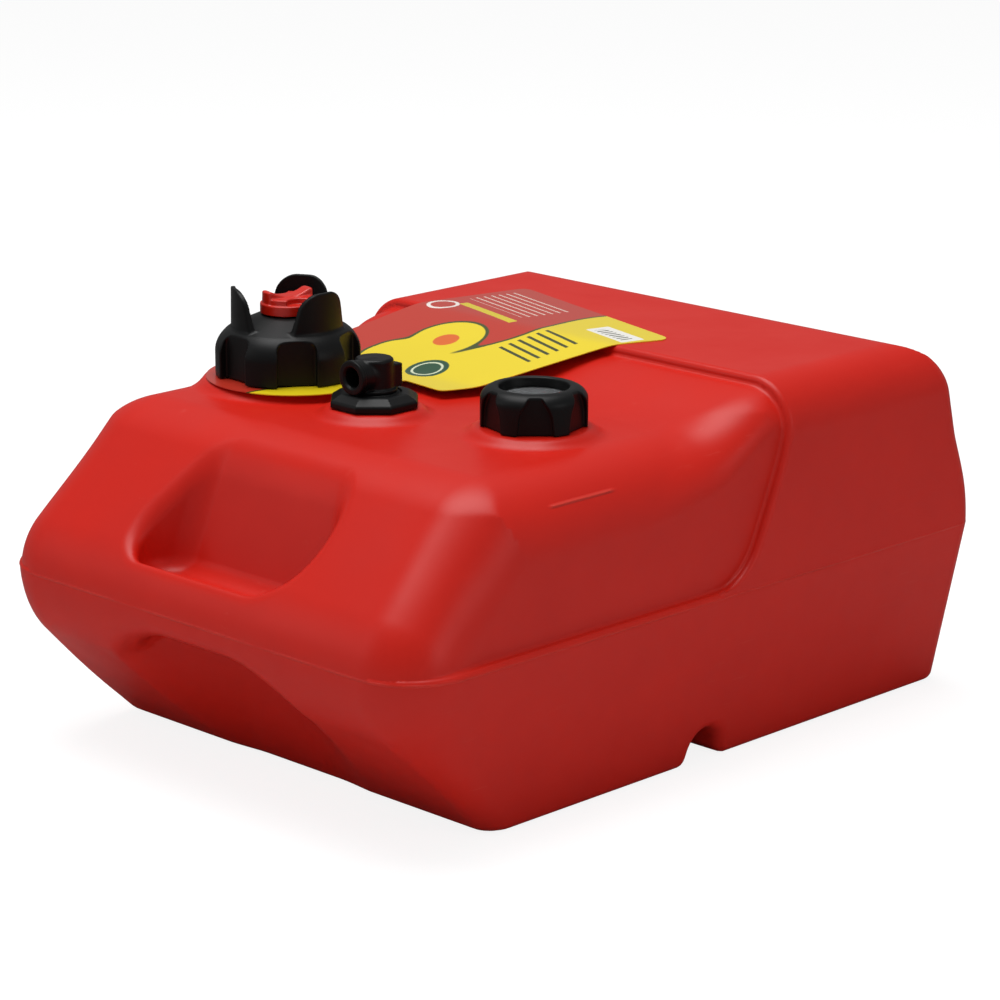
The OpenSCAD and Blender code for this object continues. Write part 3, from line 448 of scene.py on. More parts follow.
@dataclass(frozen=True)
class TankFinish(Finish):
    """Blow-moulded polyethylene with its mould line and fill mark."""

    line_z: float = 104.0
    line_half: float = 1.1
    line_h: float = 0.5
    mark_z: float = 178.5
    mark_half: float = 1.3
    mark_h: float = 0.8
    mark_y: Tuple[float, float] = (-122.0, -66.0)
    # Lighter red painted on the raised ridges as a highlight.
    ridge_highlight: str = "E0584A"

    @staticmethod
    def ridge(tree: Tree, value: Any, centre: float, half: float, size: float) -> Any:
        """A soft ridge where a coordinate is near its centre.

        Args:
            tree: the material's tree.
            value: the coordinate's socket.
            centre: the ridge's middle (mm).
            half: its half width (mm).
            size: its height.

        Returns:
            The height socket.
        """
        off = add(tree, "ShaderNodeMath", {0: value, 1: centre * MM}, operation="SUBTRACT")
        far = add(tree, "ShaderNodeMath", {0: off.outputs[0]}, operation="ABSOLUTE")
        fall = {0: far.outputs[0], 1: 0.0, 2: half * MM, 3: size, 4: 0.0}
        return add(tree, "ShaderNodeMapRange", fall, interpolation_type="SMOOTHSTEP").outputs[0]

    def build(self) -> Material:
        """The finished material, with relief for the mould line and the fill mark, and a painted highlight
        along both.

        Returns:
            The material.
        """
        mat, tree, shader, at = self.start()
        colour, height = self.dress(tree, shader, at)
        x, y, z = add(tree, "ShaderNodeSeparateXYZ", {0: at}).outputs
        maths = "ShaderNodeMath"
        # The two mould halves leave a hairline of flash that fades in and out.
        flash = self.ridge(tree, z, self.line_z, self.line_half, self.line_h)
        fade = add(tree, "ShaderNodeTexNoise", {"Vector": at, "Scale": 30.0})
        strength = add(tree, "ShaderNodeMapRange", {0: fade.outputs[0], 1: 0.35, 2: 0.6, 3: 0.25, 4: 1.0})
        line = add(tree, maths, {0: flash, 1: strength.outputs[0]}, operation="MULTIPLY")
        # The fill mark is one raised bar on the right-hand shoulder.
        bar = self.ridge(tree, z, self.mark_z, self.mark_half, self.mark_h)
        first, last = self.mark_y
        ends = self.ridge(tree, y, (first + last) / 2, (last - first) / 2, 8.0)
        inside = add(tree, maths, {0: ends, 1: 1.0}, operation="MINIMUM")
        right = add(tree, maths, {0: x, 1: 0.1}, operation="GREATER_THAN")
        cut = add(tree, maths, {0: bar, 1: inside.outputs[0]}, operation="MULTIPLY")
        both = {0: cut.outputs[0], 1: right.outputs[0], 2: line.outputs[0]}
        raised = add(tree, maths, both, operation="MULTIPLY_ADD").outputs[0]
        relief = add(tree, maths, {0: height, 1: raised}, operation="ADD")
        # Painted highlight: the raised mould line and fill mark are tinted lighter in step with their height.
        ridge_highlight_share = add(tree, maths, {0: raised, 1: 0.35}, operation="MULTIPLY")
        edge = {0: ridge_highlight_share.outputs[0], 6: colour, 7: srgb(self.ridge_highlight)}
        tint = add(tree, "ShaderNodeMix", edge, data_type="RGBA")
        self.close(tree, shader, tint.outputs[2], relief.outputs[0])
        return mat


@dataclass(frozen=True)
class ClearFinish(Finish):
    """A clear moulded window."""

    def build(self) -> Material:
        """The finished material: clear body with a faint haze and a glossy face.

        Returns:
            The material.
        """
        mat = super().build()
        shader = next(n for n in mat.node_tree.nodes if n.type == "BSDF_PRINCIPLED")
        shader.inputs["Transmission Weight"].default_value = 0.9
        return mat


@dataclass(frozen=True)
class Motif:
    """One printed shape on the card: a box with round corners, or a disc where it has no sides (mm)."""

    centre: Tuple[float, float]
    radius: float
    ink: str = ""
    half: Tuple[float, float] = (0.0, 0.0)
    ring: float = 0.0
    pitch: float = 0.0
    share: float = 0.0
    upright: bool = False


@dataclass(frozen=True)
class CardFinish(Finish):
    """Printed card: plain shapes of its own in the colours of such cards."""

    origin: Tuple[float, float] = (-10.0, 20.0)
    turn: float = -15.0
    soft: float = 0.3
    outline: float = 2.2
    outline_ink: str = "3F4A1A"
    field_ink: str = "B9301F"
    band: float = 30.0
    swing: float = 5.0
    swing_length: float = 110.0
    blend: float = 12.0
    bay: Tuple[Motif, Motif] = (Motif((-58, -6), 25), Motif((-24, -40), 20, half=(42, 2)))
    motifs: Tuple[Motif, ...] = (
        Motif((-86, 62), 2, "E3C3B6", (30, 16), pitch=5.4, share=0.24),
        Motif((-78, 34), 1, "D8C21C", (29, 2)),
        Motif((-112, 22), 9, "EFE6DF", ring=1.2),
        Motif((-26, -38), 13, "1E4A30"),
        Motif((-26, -38), 9, "D5DDBE", ring=0.7),
        Motif((12, 68), 1.5, "EFEDE6", (18.5, 6.5)),
        Motif((12, 67), 0.5, "55564F", (14.5, 3.5), pitch=4.2, share=0.4, upright=True),
        Motif((-2, 24), 1, "3C4220", (16, 19), pitch=6.4, share=0.34),
        Motif((-56, -8), 8, "D9641E"),
    )

    @staticmethod
    def distance(tree: Tree, plan: Any, motif: Motif) -> Any:
        """Distance of each place on the card from a motif's edge.

        Args:
            tree: the material's tree.
            plan: the card's own coordinates.
            motif: the shape.

        Returns:
            The distance socket (metres), negative inside.
        """
        middle = (motif.centre[0] * MM, motif.centre[1] * MM, 0.0)
        half = (motif.half[0] * MM, motif.half[1] * MM, 0.0)
        off = add(tree, "ShaderNodeVectorMath", {0: plan, 1: middle}, operation="SUBTRACT")
        fold = add(tree, "ShaderNodeVectorMath", {0: off.outputs[0]}, operation="ABSOLUTE")
        past = add(tree, "ShaderNodeVectorMath", {0: fold.outputs[0], 1: half}, operation="SUBTRACT")
        out = add(tree, "ShaderNodeVectorMath", {0: past.outputs[0], 1: (0, 0, 0)}, operation="MAXIMUM")
        far = add(tree, "ShaderNodeVectorMath", {0: out.outputs[0]}, operation="LENGTH").outputs["Value"]
        return add(tree, "ShaderNodeMath", {0: far, 1: motif.radius * MM}, operation="SUBTRACT").outputs[0]

    def lay_ink(self, tree: Tree, under: Any, where: Any, ink: str, share: Any = 1.0) -> Any:
        """Lays one ink over another.

        Args:
            tree: the material's tree.
            under: the colour so far.
            where: distance socket, negative where the ink goes.
            ink: the ink's sRGB code.
            share: how much of it, such as the socket of ruled lines.

        Returns:
            The new colour socket.
        """
        edge = {0: where, 1: -self.soft * MM, 2: self.soft * MM, 3: 1.0, 4: 0.0}
        mask = add(tree, "ShaderNodeMapRange", edge).outputs[0]
        part = add(tree, "ShaderNodeMath", {0: mask, 1: share}, operation="MULTIPLY").outputs[0]
        return add(tree, "ShaderNodeMix", {0: part, 6: under, 7: srgb(ink)}, data_type="RGBA").outputs[2]

    def shore(self, tree: Tree, plan: Any, u: Any, v: Any) -> Any:
        """Distance into the red field; the yellow ground keeps the outlet's side and one bay.

        Args:
            tree: the material's tree.
            plan: the card's own coordinates.
            u: their first part, along the rear edge.
            v: their second part, towards the rear.

        Returns:
            The distance socket (metres), negative in the red field.
        """
        maths = "ShaderNodeMath"
        phase = add(tree, maths, {0: v, 1: 2 * math.pi / (self.swing_length * MM)}, operation="MULTIPLY")
        wave = add(tree, maths, {0: phase.outputs[0]}, operation="SINE")
        swung = {0: wave.outputs[0], 1: self.swing * MM, 2: -self.band * MM}
        edge = add(tree, maths, swung, operation="MULTIPLY_ADD")
        band = add(tree, maths, {0: edge.outputs[0], 1: u}, operation="SUBTRACT")
        first, second = (self.distance(tree, plan, m) for m in self.bay)
        bay = add(tree, maths, {0: first, 1: second, 2: self.blend * MM}, operation="SMOOTH_MIN")
        whole = {0: band.outputs[0], 1: bay.outputs[0], 2: self.blend * MM}
        ground = add(tree, maths, whole, operation="SMOOTH_MIN")
        return add(tree, maths, {0: ground.outputs[0], 1: -1.0}, operation="MULTIPLY").outputs[0]

    def build(self) -> Material:
        """The finished material: yellow ground, red field and the motifs.

        Returns:
            The material.
        """
        mat, tree, shader, at = self.start()
        colour, height = self.dress(tree, shader, at)
        maths = "ShaderNodeMath"
        shift = (-self.origin[0] * MM, -self.origin[1] * MM, 0.0)
        moved = add(tree, "ShaderNodeMapping", {"Vector": at, "Location": shift})
        turned = {"Vector": moved.outputs[0], "Angle": math.radians(-self.turn)}
        spun = add(tree, "ShaderNodeVectorRotate", turned, rotation_type="Z_AXIS")
        flat = {0: spun.outputs[0], 1: (1, 1, 0)}
        plan = add(tree, "ShaderNodeVectorMath", flat, operation="MULTIPLY").outputs[0]
        u, v, _ = add(tree, "ShaderNodeSeparateXYZ", {0: plan}).outputs
        red = self.shore(tree, plan, u, v)
        wider = add(tree, maths, {0: red, 1: self.outline * MM}, operation="SUBTRACT").outputs[0]
        colour = self.lay_ink(tree, colour, wider, self.outline_ink)
        colour = self.lay_ink(tree, colour, red, self.field_ink)
        for motif in self.motifs:
            where, share = self.distance(tree, plan, motif), 1.0
            if motif.ring:
                size = add(tree, maths, {0: where}, operation="ABSOLUTE")
                thin = {0: size.outputs[0], 1: motif.ring * MM}
                where = add(tree, maths, thin, operation="SUBTRACT").outputs[0]
            if motif.pitch:
                count = {0: u if motif.upright else v, 1: motif.pitch * MM}
                row = add(tree, maths, count, operation="DIVIDE")
                part = add(tree, maths, {0: row.outputs[0]}, operation="FRACT")
                line = {0: part.outputs[0], 1: motif.share}
                share = add(tree, maths, line, operation="LESS_THAN").outputs[0]
            colour = self.lay_ink(tree, colour, where, motif.ink, share)
        self.close(tree, shader, colour, height)
        return mat


class Paint(Enum):
    """Every finish on the object."""

    # Blow-moulded high-density polyethylene: waxy satin gloss, faint waves, fine orange peel.
    TANK = TankFinish(
        "blow_moulded_polyethylene", "C81E10", "BE180B", 0.38, 1.1, 0.012, 46.0, 0.35, 0.10,
        rub="D97F70", specular=0.27,
    )
    # Injection-moulded black polypropylene: spark-eroded grain that greys its edges.
    BLACK = Finish(
        "grained_black_polypropylene", "0C0D0E", "070808", 0.42, 0.55, 0.02, 22.0, 0.05, 0.10, specular=0.2
    )
    # Smooth red acetal of the vent knob.
    KNOB = Finish("smooth_red_acetal", "C9200F", "BE1B0C", 0.32, 0.9, 0.006, 12.0, 0.03, 0.05, rub="D97F70")
    # Varnished card of the hang tag: flat inks under a thin clear coat.
    CARD = CardFinish("varnished_printed_card", "E9D21E", "E3C91A", 0.30, 0.8, 0.004, 60.0, 0.25, coat=0.4)
    # Moulded nitrile rubber: dull and slightly dusty.
    RUBBER = Finish("moulded_nitrile_rubber", "1B1B1B", "131313", 0.72, 0.5, 0.02, 10.0, 0.02)
    # Drawn stainless wire and strip: bright, with faint draw lines.
    STEEL = Finish("drawn_stainless_steel", "B9BABB", "A9AAAC", 0.30, 0.3, 0.004, 8.0, 0.0, metallic=1.0)
    # Natural acetal of the vent stem and disc: milky white.
    STEM = Finish("natural_acetal", "E4E1D6", "DAD6C8", 0.35, 0.7, 0.006, 9.0, 0.02)
    # Natural polyethylene of the pickup tube: waxy and off-white.
    TUBE = Finish("natural_polyethylene", "E6E6DE", "DCDCD2", 0.42, 0.8, 0.01, 18.0, 0.05)
    # Moulded nylon of the strainer: dull blue.
    STRAINER = Finish("blue_nylon", "2C5A96", "244C84", 0.45, 0.5, 0.02, 8.0, 0.02)
    # Closed-cell foam of the float: fine pores on its skin.
    FOAM = Finish("closed_cell_foam", "C9AE6A", "B99C58", 0.85, 0.7, 0.18, 7.0, 0.1)
    # White printed dial: flat and smooth.
    DIAL = Finish("printed_dial_board", "E9E9E4", "E2E2DC", 0.5, 0.6, 0.004, 15.0, 0.0)
    # Red moulded pointer: a soft sheen.
    POINTER = Finish("red_moulded_pointer", "D0301F", "C62A1B", 0.4, 0.6, 0.006, 9.0, 0.0)
    # Dark print of the dial's scale.
    SCALE = Finish("dark_dial_print", "26282B", "202225", 0.55, 0.5, 0.002, 6.0, 0.0)
    # Clear polycarbonate window: glossy, with a soft haze.
    WINDOW = ClearFinish("clear_polycarbonate", "F4F6F8", "ECEFF2", 0.06, 0.9, 0.003, 14.0, 0.03, ior=1.585)

    def material(self) -> Material:
        """The Blender material, built once."""
        return bpy.data.materials.get(self.value.name) or self.value.build()


def dress(made: Piece, paint: Paint, body: Body, slot: str, *nodes: str) -> Piece:
    """Gives a new piece its finish, its CAD body and the CAD nodes it stands for.

    Args:
        made: the piece.
        paint: its finish.
        body: the body it rides on.
        slot: the record's material slot; not used.
        nodes: CAD nodes it replaces.

    Returns:
        The same piece.
    """
    made.data.materials.clear()
    made.data.materials.append(paint.material())
    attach(made, body.value)
    if nodes:
        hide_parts(*nodes)
    LOG.info("%s: %d faces, %s", made.name, len(made.data.polygons), paint.value.name)
    return made


# ------------------------------------------------------------------ tank body


@dataclass
class TankBody:
    """The blow-moulded body: two skins that meet at the mould line."""

    length: float = 472.0
    width: float = 345.0
    height: float = 217.0
    strip_z: float = 211.5
    deck_z: float = 194.0
    part_z: float = 104.0
    nose_r: float = 50.0
    nose_drop: float = 3.5
    slope_up: float = 44.2
    slope_low: float = 45.5
    side_draft: float = 0.205
    rear_draft: float = 0.256
    corner_front: float = 38.0
    corner_rear: float = 12.0
    edge_rear: float = 30.0
    edge_front: float = 41.0
    edge_bottom: float = 5.0
    side_inset: float = 5.5
    ledge_h: float = 3.0
    step_y: float = 63.5
    step_lean: float = 0.47
    step_foot: float = 22.0
    well_hw: float = 73.0
    well_flare: float = 0.5
    well_bar: float = 12.5
    well_rear: float = -171.0
    well_up: float = 10.0
    well_mid: float = 3.0
    well_skew: float = 0.08
    well_round: float = 46.0
    well_tight: float = 24.0
    scoop_hw: float = 72.0
    scoop_flare: float = 0.6
    scoop_round: float = 36.0
    scoop_lip: float = 19.0
    scoop_top: float = 7.0
    scoop_rear: float = -192.0
    groove_y: float = 17.5
    groove_w: float = 10.0
    groove_h: float = 20.0
    seat_h: float = 5.0
    seats: Tuple[Tuple[float, float, float], ...] = ((-100, -70, 49), (-9, -87, 28), (86, -56, 34))
    inset: float = 0.02

    def __post_init__(self) -> None:
        """Works out the values that follow from the sizes."""
        self.half_l, self.half_w = self.length / 2, self.width / 2
        self.seat_z = self.deck_z + self.seat_h
        self.nose_z = self.part_z - self.nose_drop
        self.su, self.cu = math.sin(math.radians(self.slope_up)), math.cos(math.radians(self.slope_up))
        self.sl, self.cl = math.sin(math.radians(self.slope_low)), math.cos(math.radians(self.slope_low))
        self.nose_y = -self.half_l + self.nose_r / math.sqrt(self.su**2 + self.cl**2)

    def side(self, x: Array, inset: Any) -> Array:
        """The side walls, drawn in by inset."""
        return np.abs(x) - (self.half_w - inset)

    def wedge(self, y: Array, z: Array) -> Array:
        """The front: an upper and a lower slope joined by the handle's round nose.

        Args:
            y, z: places in the frame (mm).

        Returns:
            The field (mm), negative inside.
        """
        a, b = y - self.nose_y, z - self.nose_z
        upper = -self.su * a + self.cu * b - self.nose_r
        return rmax(upper, -self.cl * a - self.sl * b - self.nose_r, self.nose_r)

    def walls(self, x: Array, y: Array, z: Array) -> Array:
        """All upright walls above the mould line.

        Args:
            x, y, z: places in the frame (mm).

        Returns:
            The field (mm), negative inside.
        """
        h = np.maximum(z - self.part_z, 0)
        rear = (y - (self.half_l - h * self.rear_draft * ease(-10, 60, h))) * 0.96
        plan = rmax(self.side(x, 0.004 * h), self.wedge(y, z), self.corner_front)
        return rmax(plan, rear, self.corner_rear)

    def front(self, x: Array, y: Array, z: Array) -> Array:
        """The lower front deck with its ramp and shoulders.

        Args:
            x, y, z: places in the frame (mm).

        Returns:
            The field (mm), negative inside.
        """
        inset = self.side_inset * ease(-232, -172, y)
        ramp = (z - (self.deck_z + (y - (self.step_y - 44)) * 0.62)) * 0.85
        top = rmax(rmin(z - self.deck_z, rmax(ramp, z - self.strip_z, 11), 13), self.wedge(y, z), 14)
        tight = self.edge_rear - 4
        r = tight + (self.edge_front - tight) * ease(0, 1, (self.step_y - 15 - y) / 45)
        return np.maximum(rmax(self.side(x, inset), top, r), y - self.step_y - 66)

    def step_at(self, z: Array) -> Array:
        """Where the step between the decks stands at height z.

        Args:
            z: heights in the frame (mm).

        Returns:
            The step's place along Y (mm).
        """
        foot = self.step_foot
        g = np.clip(foot - (z - self.part_z - self.ledge_h), 0, foot)
        lean = self.step_lean * softpos(self.part_z + 80 - z, 14)
        return self.step_y - lean - (foot - np.sqrt(foot * foot - g * g))

    def seats_at(self, x: Array, y: Array, z: Array) -> Array:
        """The three raised seats of the fittings.

        Args:
            x, y, z: places in the frame (mm).

        Returns:
            The field (mm), negative inside.
        """
        drop = np.minimum(self.seat_z - z, 8) * 0.6
        cones = [np.hypot(x - a, y - b) - r - drop for a, b, r in self.seats]
        return np.minimum.reduce([rmax(cone, z - self.seat_z, 2.5) for cone in cones])

    def slope_z(self, y: float) -> float:
        """Height of the upper front slope."""
        return self.nose_z + (self.nose_r + self.su * (y - self.nose_y)) / self.cu

    def well(self, x: Array, y: Array, z: Array) -> Array:
        """The hand well behind the carrying handle.

        Args:
            x, y, z: places in the frame (mm).

        Returns:
            The field (mm), negative in the hollow.
        """
        rear = (y - (self.well_rear - (self.slope_z(self.well_rear) - z) * 0.3)) * 0.957
        face = -y - (self.half_l - self.well_bar - (130 - z) * 0.05)
        d = y + self.half_l - 20
        half = self.well_hw - d * self.well_flare + (z - 140) * 0.05
        ends = np.abs(x - self.well_mid - d * self.well_skew) - half
        corner = self.well_tight + (self.well_round - self.well_tight) * ease(-14, 20, x)
        plan = rmax(rmax(ends, face, corner), rear, 9)
        return rmax(plan, self.part_z + self.well_up - z, 9)

    def upper(self, x: Array, y: Array, z: Array) -> Array:
        """Everything above the mould line.

        Args:
            x, y, z: places in the frame (mm).

        Returns:
            The field (mm), negative inside.
        """
        base = rmax(self.walls(x, y, z), z - self.part_z - self.ledge_h, 3)
        rear = rmax(self.walls(x, y, z), z - self.height, self.edge_rear)
        rear = rmax(rear, (self.step_at(z) - y) * 0.93, 3.5)
        blend = 2.2 * ease(-232, -190, y)
        body = rmin(np.minimum(base, rear), self.front(x, y, z), blend)
        deck = rmin(body, self.seats_at(x, y, z), self.seat_h * 0.98)
        body = np.where(y > self.step_y, body, deck)
        return rmax(body, -self.well(x, y, z), 8.5) + self.inset

    def scoop(self, x: Array, y: Array, z: Array) -> Array:
        """The hollow under the carrying handle.

        Args:
            x, y, z: places in the frame (mm).

        Returns:
            The field (mm), negative in the hollow.
        """
        crest, low = self.part_z - self.scoop_top, self.part_z - self.scoop_lip
        lip = z - (low + softpos(y + self.half_l - 14, 10) * 1.2)
        rear = (y - (self.scoop_rear + (crest - z) * 0.35)) * 0.95
        deep = self.cl * (y - self.nose_y) + self.sl * (z - self.nose_z) + self.nose_r
        half = self.scoop_hw - np.maximum(deep, 0) * self.scoop_flare
        ends = (np.abs(x) - half) / math.hypot(1, self.scoop_flare)
        return rmax(rmax(rmax(z - crest, lip, 6), rear, 20), ends, self.scoop_round)

    def lower(self, x: Array, y: Array, z: Array) -> Array:
        """Everything below the mould line.

        Args:
            x, y, z: places in the frame (mm).

        Returns:
            The field (mm), negative inside.
        """
        h = np.maximum(self.part_z - z, 0)
        corner = self.corner_front - (self.corner_front - 12) * ease(0, 85, h)
        body = rmax(self.side(x, self.side_draft * h) * 0.98, self.wedge(y, z), corner)
        body = rmax(body, y - (self.half_l - h * 0.01), self.corner_rear)
        body = rmax(body, -z, self.edge_bottom)
        flank = np.abs(y - self.groove_y) - self.groove_w - (self.groove_h - z) * 0.2
        groove = rmax(flank, z - self.groove_h, 9)
        return rmax(rmax(body, -self.scoop(x, y, z), 11), -groove, 7) + self.inset

    def build(self) -> None:
        """Draws both skins on a grid that is finer at the edges, the step and the mould line."""
        edge, ends = self.half_w, self.half_l
        xs = lines((-edge - 2, -edge + 13, 1.3), (-edge + 13, edge - 13, 2.5), (edge - 13, edge + 2, 1.3))
        front = ((-ends - 2, -ends + 12, 1.6), (-ends + 12, 16, 2.5), (16, 70, 1.4))
        ys = lines(*front, (70, ends - 8, 2.8), (ends - 8, ends + 2, 1.7))
        part = self.part_z
        up = lines((part, part + 9, 1.0), (part + 9, 206, 2.4), (206, self.height + 2, 1.6))
        low = lines((-1.5, 8, 1.6), (8, part, 2.8))
        for name, form, zs in (("upper", self.upper, up), ("lower", self.lower, low)):
            made = Skin(form, xs, ys, zs, part).mesh(f"tank_{name}_skin")
            dress(made, Paint.TANK, Body.TANK, "tank_red", f"tank_{name}_shell")


# ----------------------------------------------------------------- filler cap


@dataclass
class FillerCap:
    """Fluted cap with three fins."""

    at: Tuple[float, float, float] = (-100.0, -70.0, 200.1)
    radius: float = 42.6
    height: float = 36.0
    wall: float = 2.5
    shoulder: float = 9.0
    flute_turn: float = -34.6
    flutes: int = 6
    flute_half: float = 11.5
    flute_depth: float = 6.6
    flute_top: float = 26.0
    fins: int = 3
    fin_foot: float = 22.0
    fin_root: float = 26.0
    fin_top: float = 52.0
    fin_ring: float = 31.5
    fin_t: float = 3.0
    fin_half: float = 20.0
    fin_taper: float = 0.25
    fin_round: float = 9.0
    hole: float = 3.9

    def flute(self, x: Array, y: Array, z: Array, grow: float) -> Array:
        """The space outside the flat wall of the grip hollows, grown by grow.

        Args:
            x, y, z: places from its own origin (mm).
            grow: how far the space is grown (mm).

        Returns:
            The field (mm), negative in the space.
        """
        u, v = sector(x, y, self.flutes, self.flute_turn)
        arch = rmax(v - self.flute_half - grow, z - self.flute_top - grow, 6 + grow)
        return rmax(self.radius - self.flute_depth - grow - u, arch, 1.0)

    def turned(self, r: Array, z: Array, inner: float) -> Array:
        """The cap's turned outline, drawn in by inner.

        Args:
            r: distance from the axis (mm).
            z: height (mm).
            inner: how far it is drawn in (mm).

        Returns:
            The field (mm), negative inside.
        """
        cone = (r - 37.26) * 0.406 + (z - 26.22) * 0.914 + inner
        skirt = rmax(r - self.radius + inner, cone, self.shoulder - inner)
        return rmax(skirt, z - self.height + inner, 1.6)

    def fin(self, x: Array, y: Array, z: Array, r: Array) -> Array:
        """The three fins, narrower and thinner towards their tips.

        Args:
            x, y, z: places from its own origin (mm).
            r: distance from the axis (mm).

        Returns:
            The field (mm), negative inside.
        """
        v = sector(x, y, self.fins)[1]
        up = z - self.fin_root
        side = (v - (self.fin_half - up * self.fin_taper)) / math.hypot(1, self.fin_taper)
        plate = np.abs(r - self.fin_ring) - self.fin_t / 2 * (1.12 - up * 0.008)
        blade = rmax(rmax(side, z - self.fin_top, self.fin_round), plate, 0.7)
        return rmax(blade, self.fin_foot - z, 0.5)

    def form(self, x: Array, y: Array, z: Array) -> Array:
        """The whole cap shell.

        Args:
            x, y, z: places from its own origin (mm).

        Returns:
            The field (mm), negative inside.
        """
        r = np.hypot(x, y)
        outer = rmax(self.turned(r, z, 0), -self.flute(x, y, z, 0), 1.1)
        outer = rmin(outer, self.fin(x, y, z, r), 1.6)
        cave = rmax(self.turned(r, z, self.wall), -self.flute(x, y, z, self.wall), 0.8)
        shell = rmax(rmax(outer, -cave, 0.7), self.hole - r, 0.5)
        return rmax(shell, -z, 0.8)

    def build(self) -> None:
        """Draws the cap."""
        plan = even(-self.radius, self.radius, 0.85)
        made = Skin(self.form, plan, plan, even(0, self.fin_top, 0.8)).mesh("cap_shell_skin", self.at)
        dress(made, Paint.BLACK, Body.CAP, "fitting_black", "cap_shell")


@dataclass
class VentKnob:
    """Stepped red knob with a saddle-shaped grip."""

    at: Tuple[float, float, float] = (-100.0, -70.0, 236.3)
    radius: float = 16.0
    foot: float = 6.0
    ring: float = 3.3
    height: float = 13.3
    grip: float = 10.0
    saddle: float = 21.5
    turn: float = 75.0
    bore: float = 3.56

    def form(self, x: Array, y: Array, z: Array) -> Array:
        """The knob about its own axis, its grip along X.

        Args:
            x, y, z: places from its own origin (mm).

        Returns:
            The field (mm), negative inside.
        """
        r, side = np.hypot(x, y), np.abs(y)
        foot = rmax(r - self.radius, z - self.foot, 0.9)
        ring = rmax(r - self.radius + 1.6, z - self.foot - self.ring, 0.8)
        saddle = self.saddle - np.hypot(x, z - self.height - 18)
        cheeks = rmax(side - self.grip / 2 + (z - 8) * 0.08, r - self.radius + 1, 1.2)
        bar = rmax(cheeks, rmax(z - self.height, saddle, 0.7), 1.0)
        # Shallow scallops between the grip and the rim let a finger in.
        dish = rmax(side - 40, 7.2 - np.hypot(x, side - 15.5), 0.6)
        whole = rmin(rmin(foot, rmax(ring, dish, 0.8), 0.5), bar, 0.9)
        hole = rmax(r - self.bore, z - self.foot - 0.2, 0.2)
        return rmax(rmax(whole, -hole, 0.3), -z, 0.5)

    def build(self) -> None:
        """Draws the knob."""
        plan = even(-self.radius, self.radius, 0.42)
        skin = Skin(self.form, plan, plan, even(0, self.height, 0.42))
        made = skin.mesh("vent_knob_skin", self.at, self.turn)
        dress(made, Paint.KNOB, Body.KNOB, "knob_red", "vent_knob")


# ---------------------------------------------------------------- fuel outlet


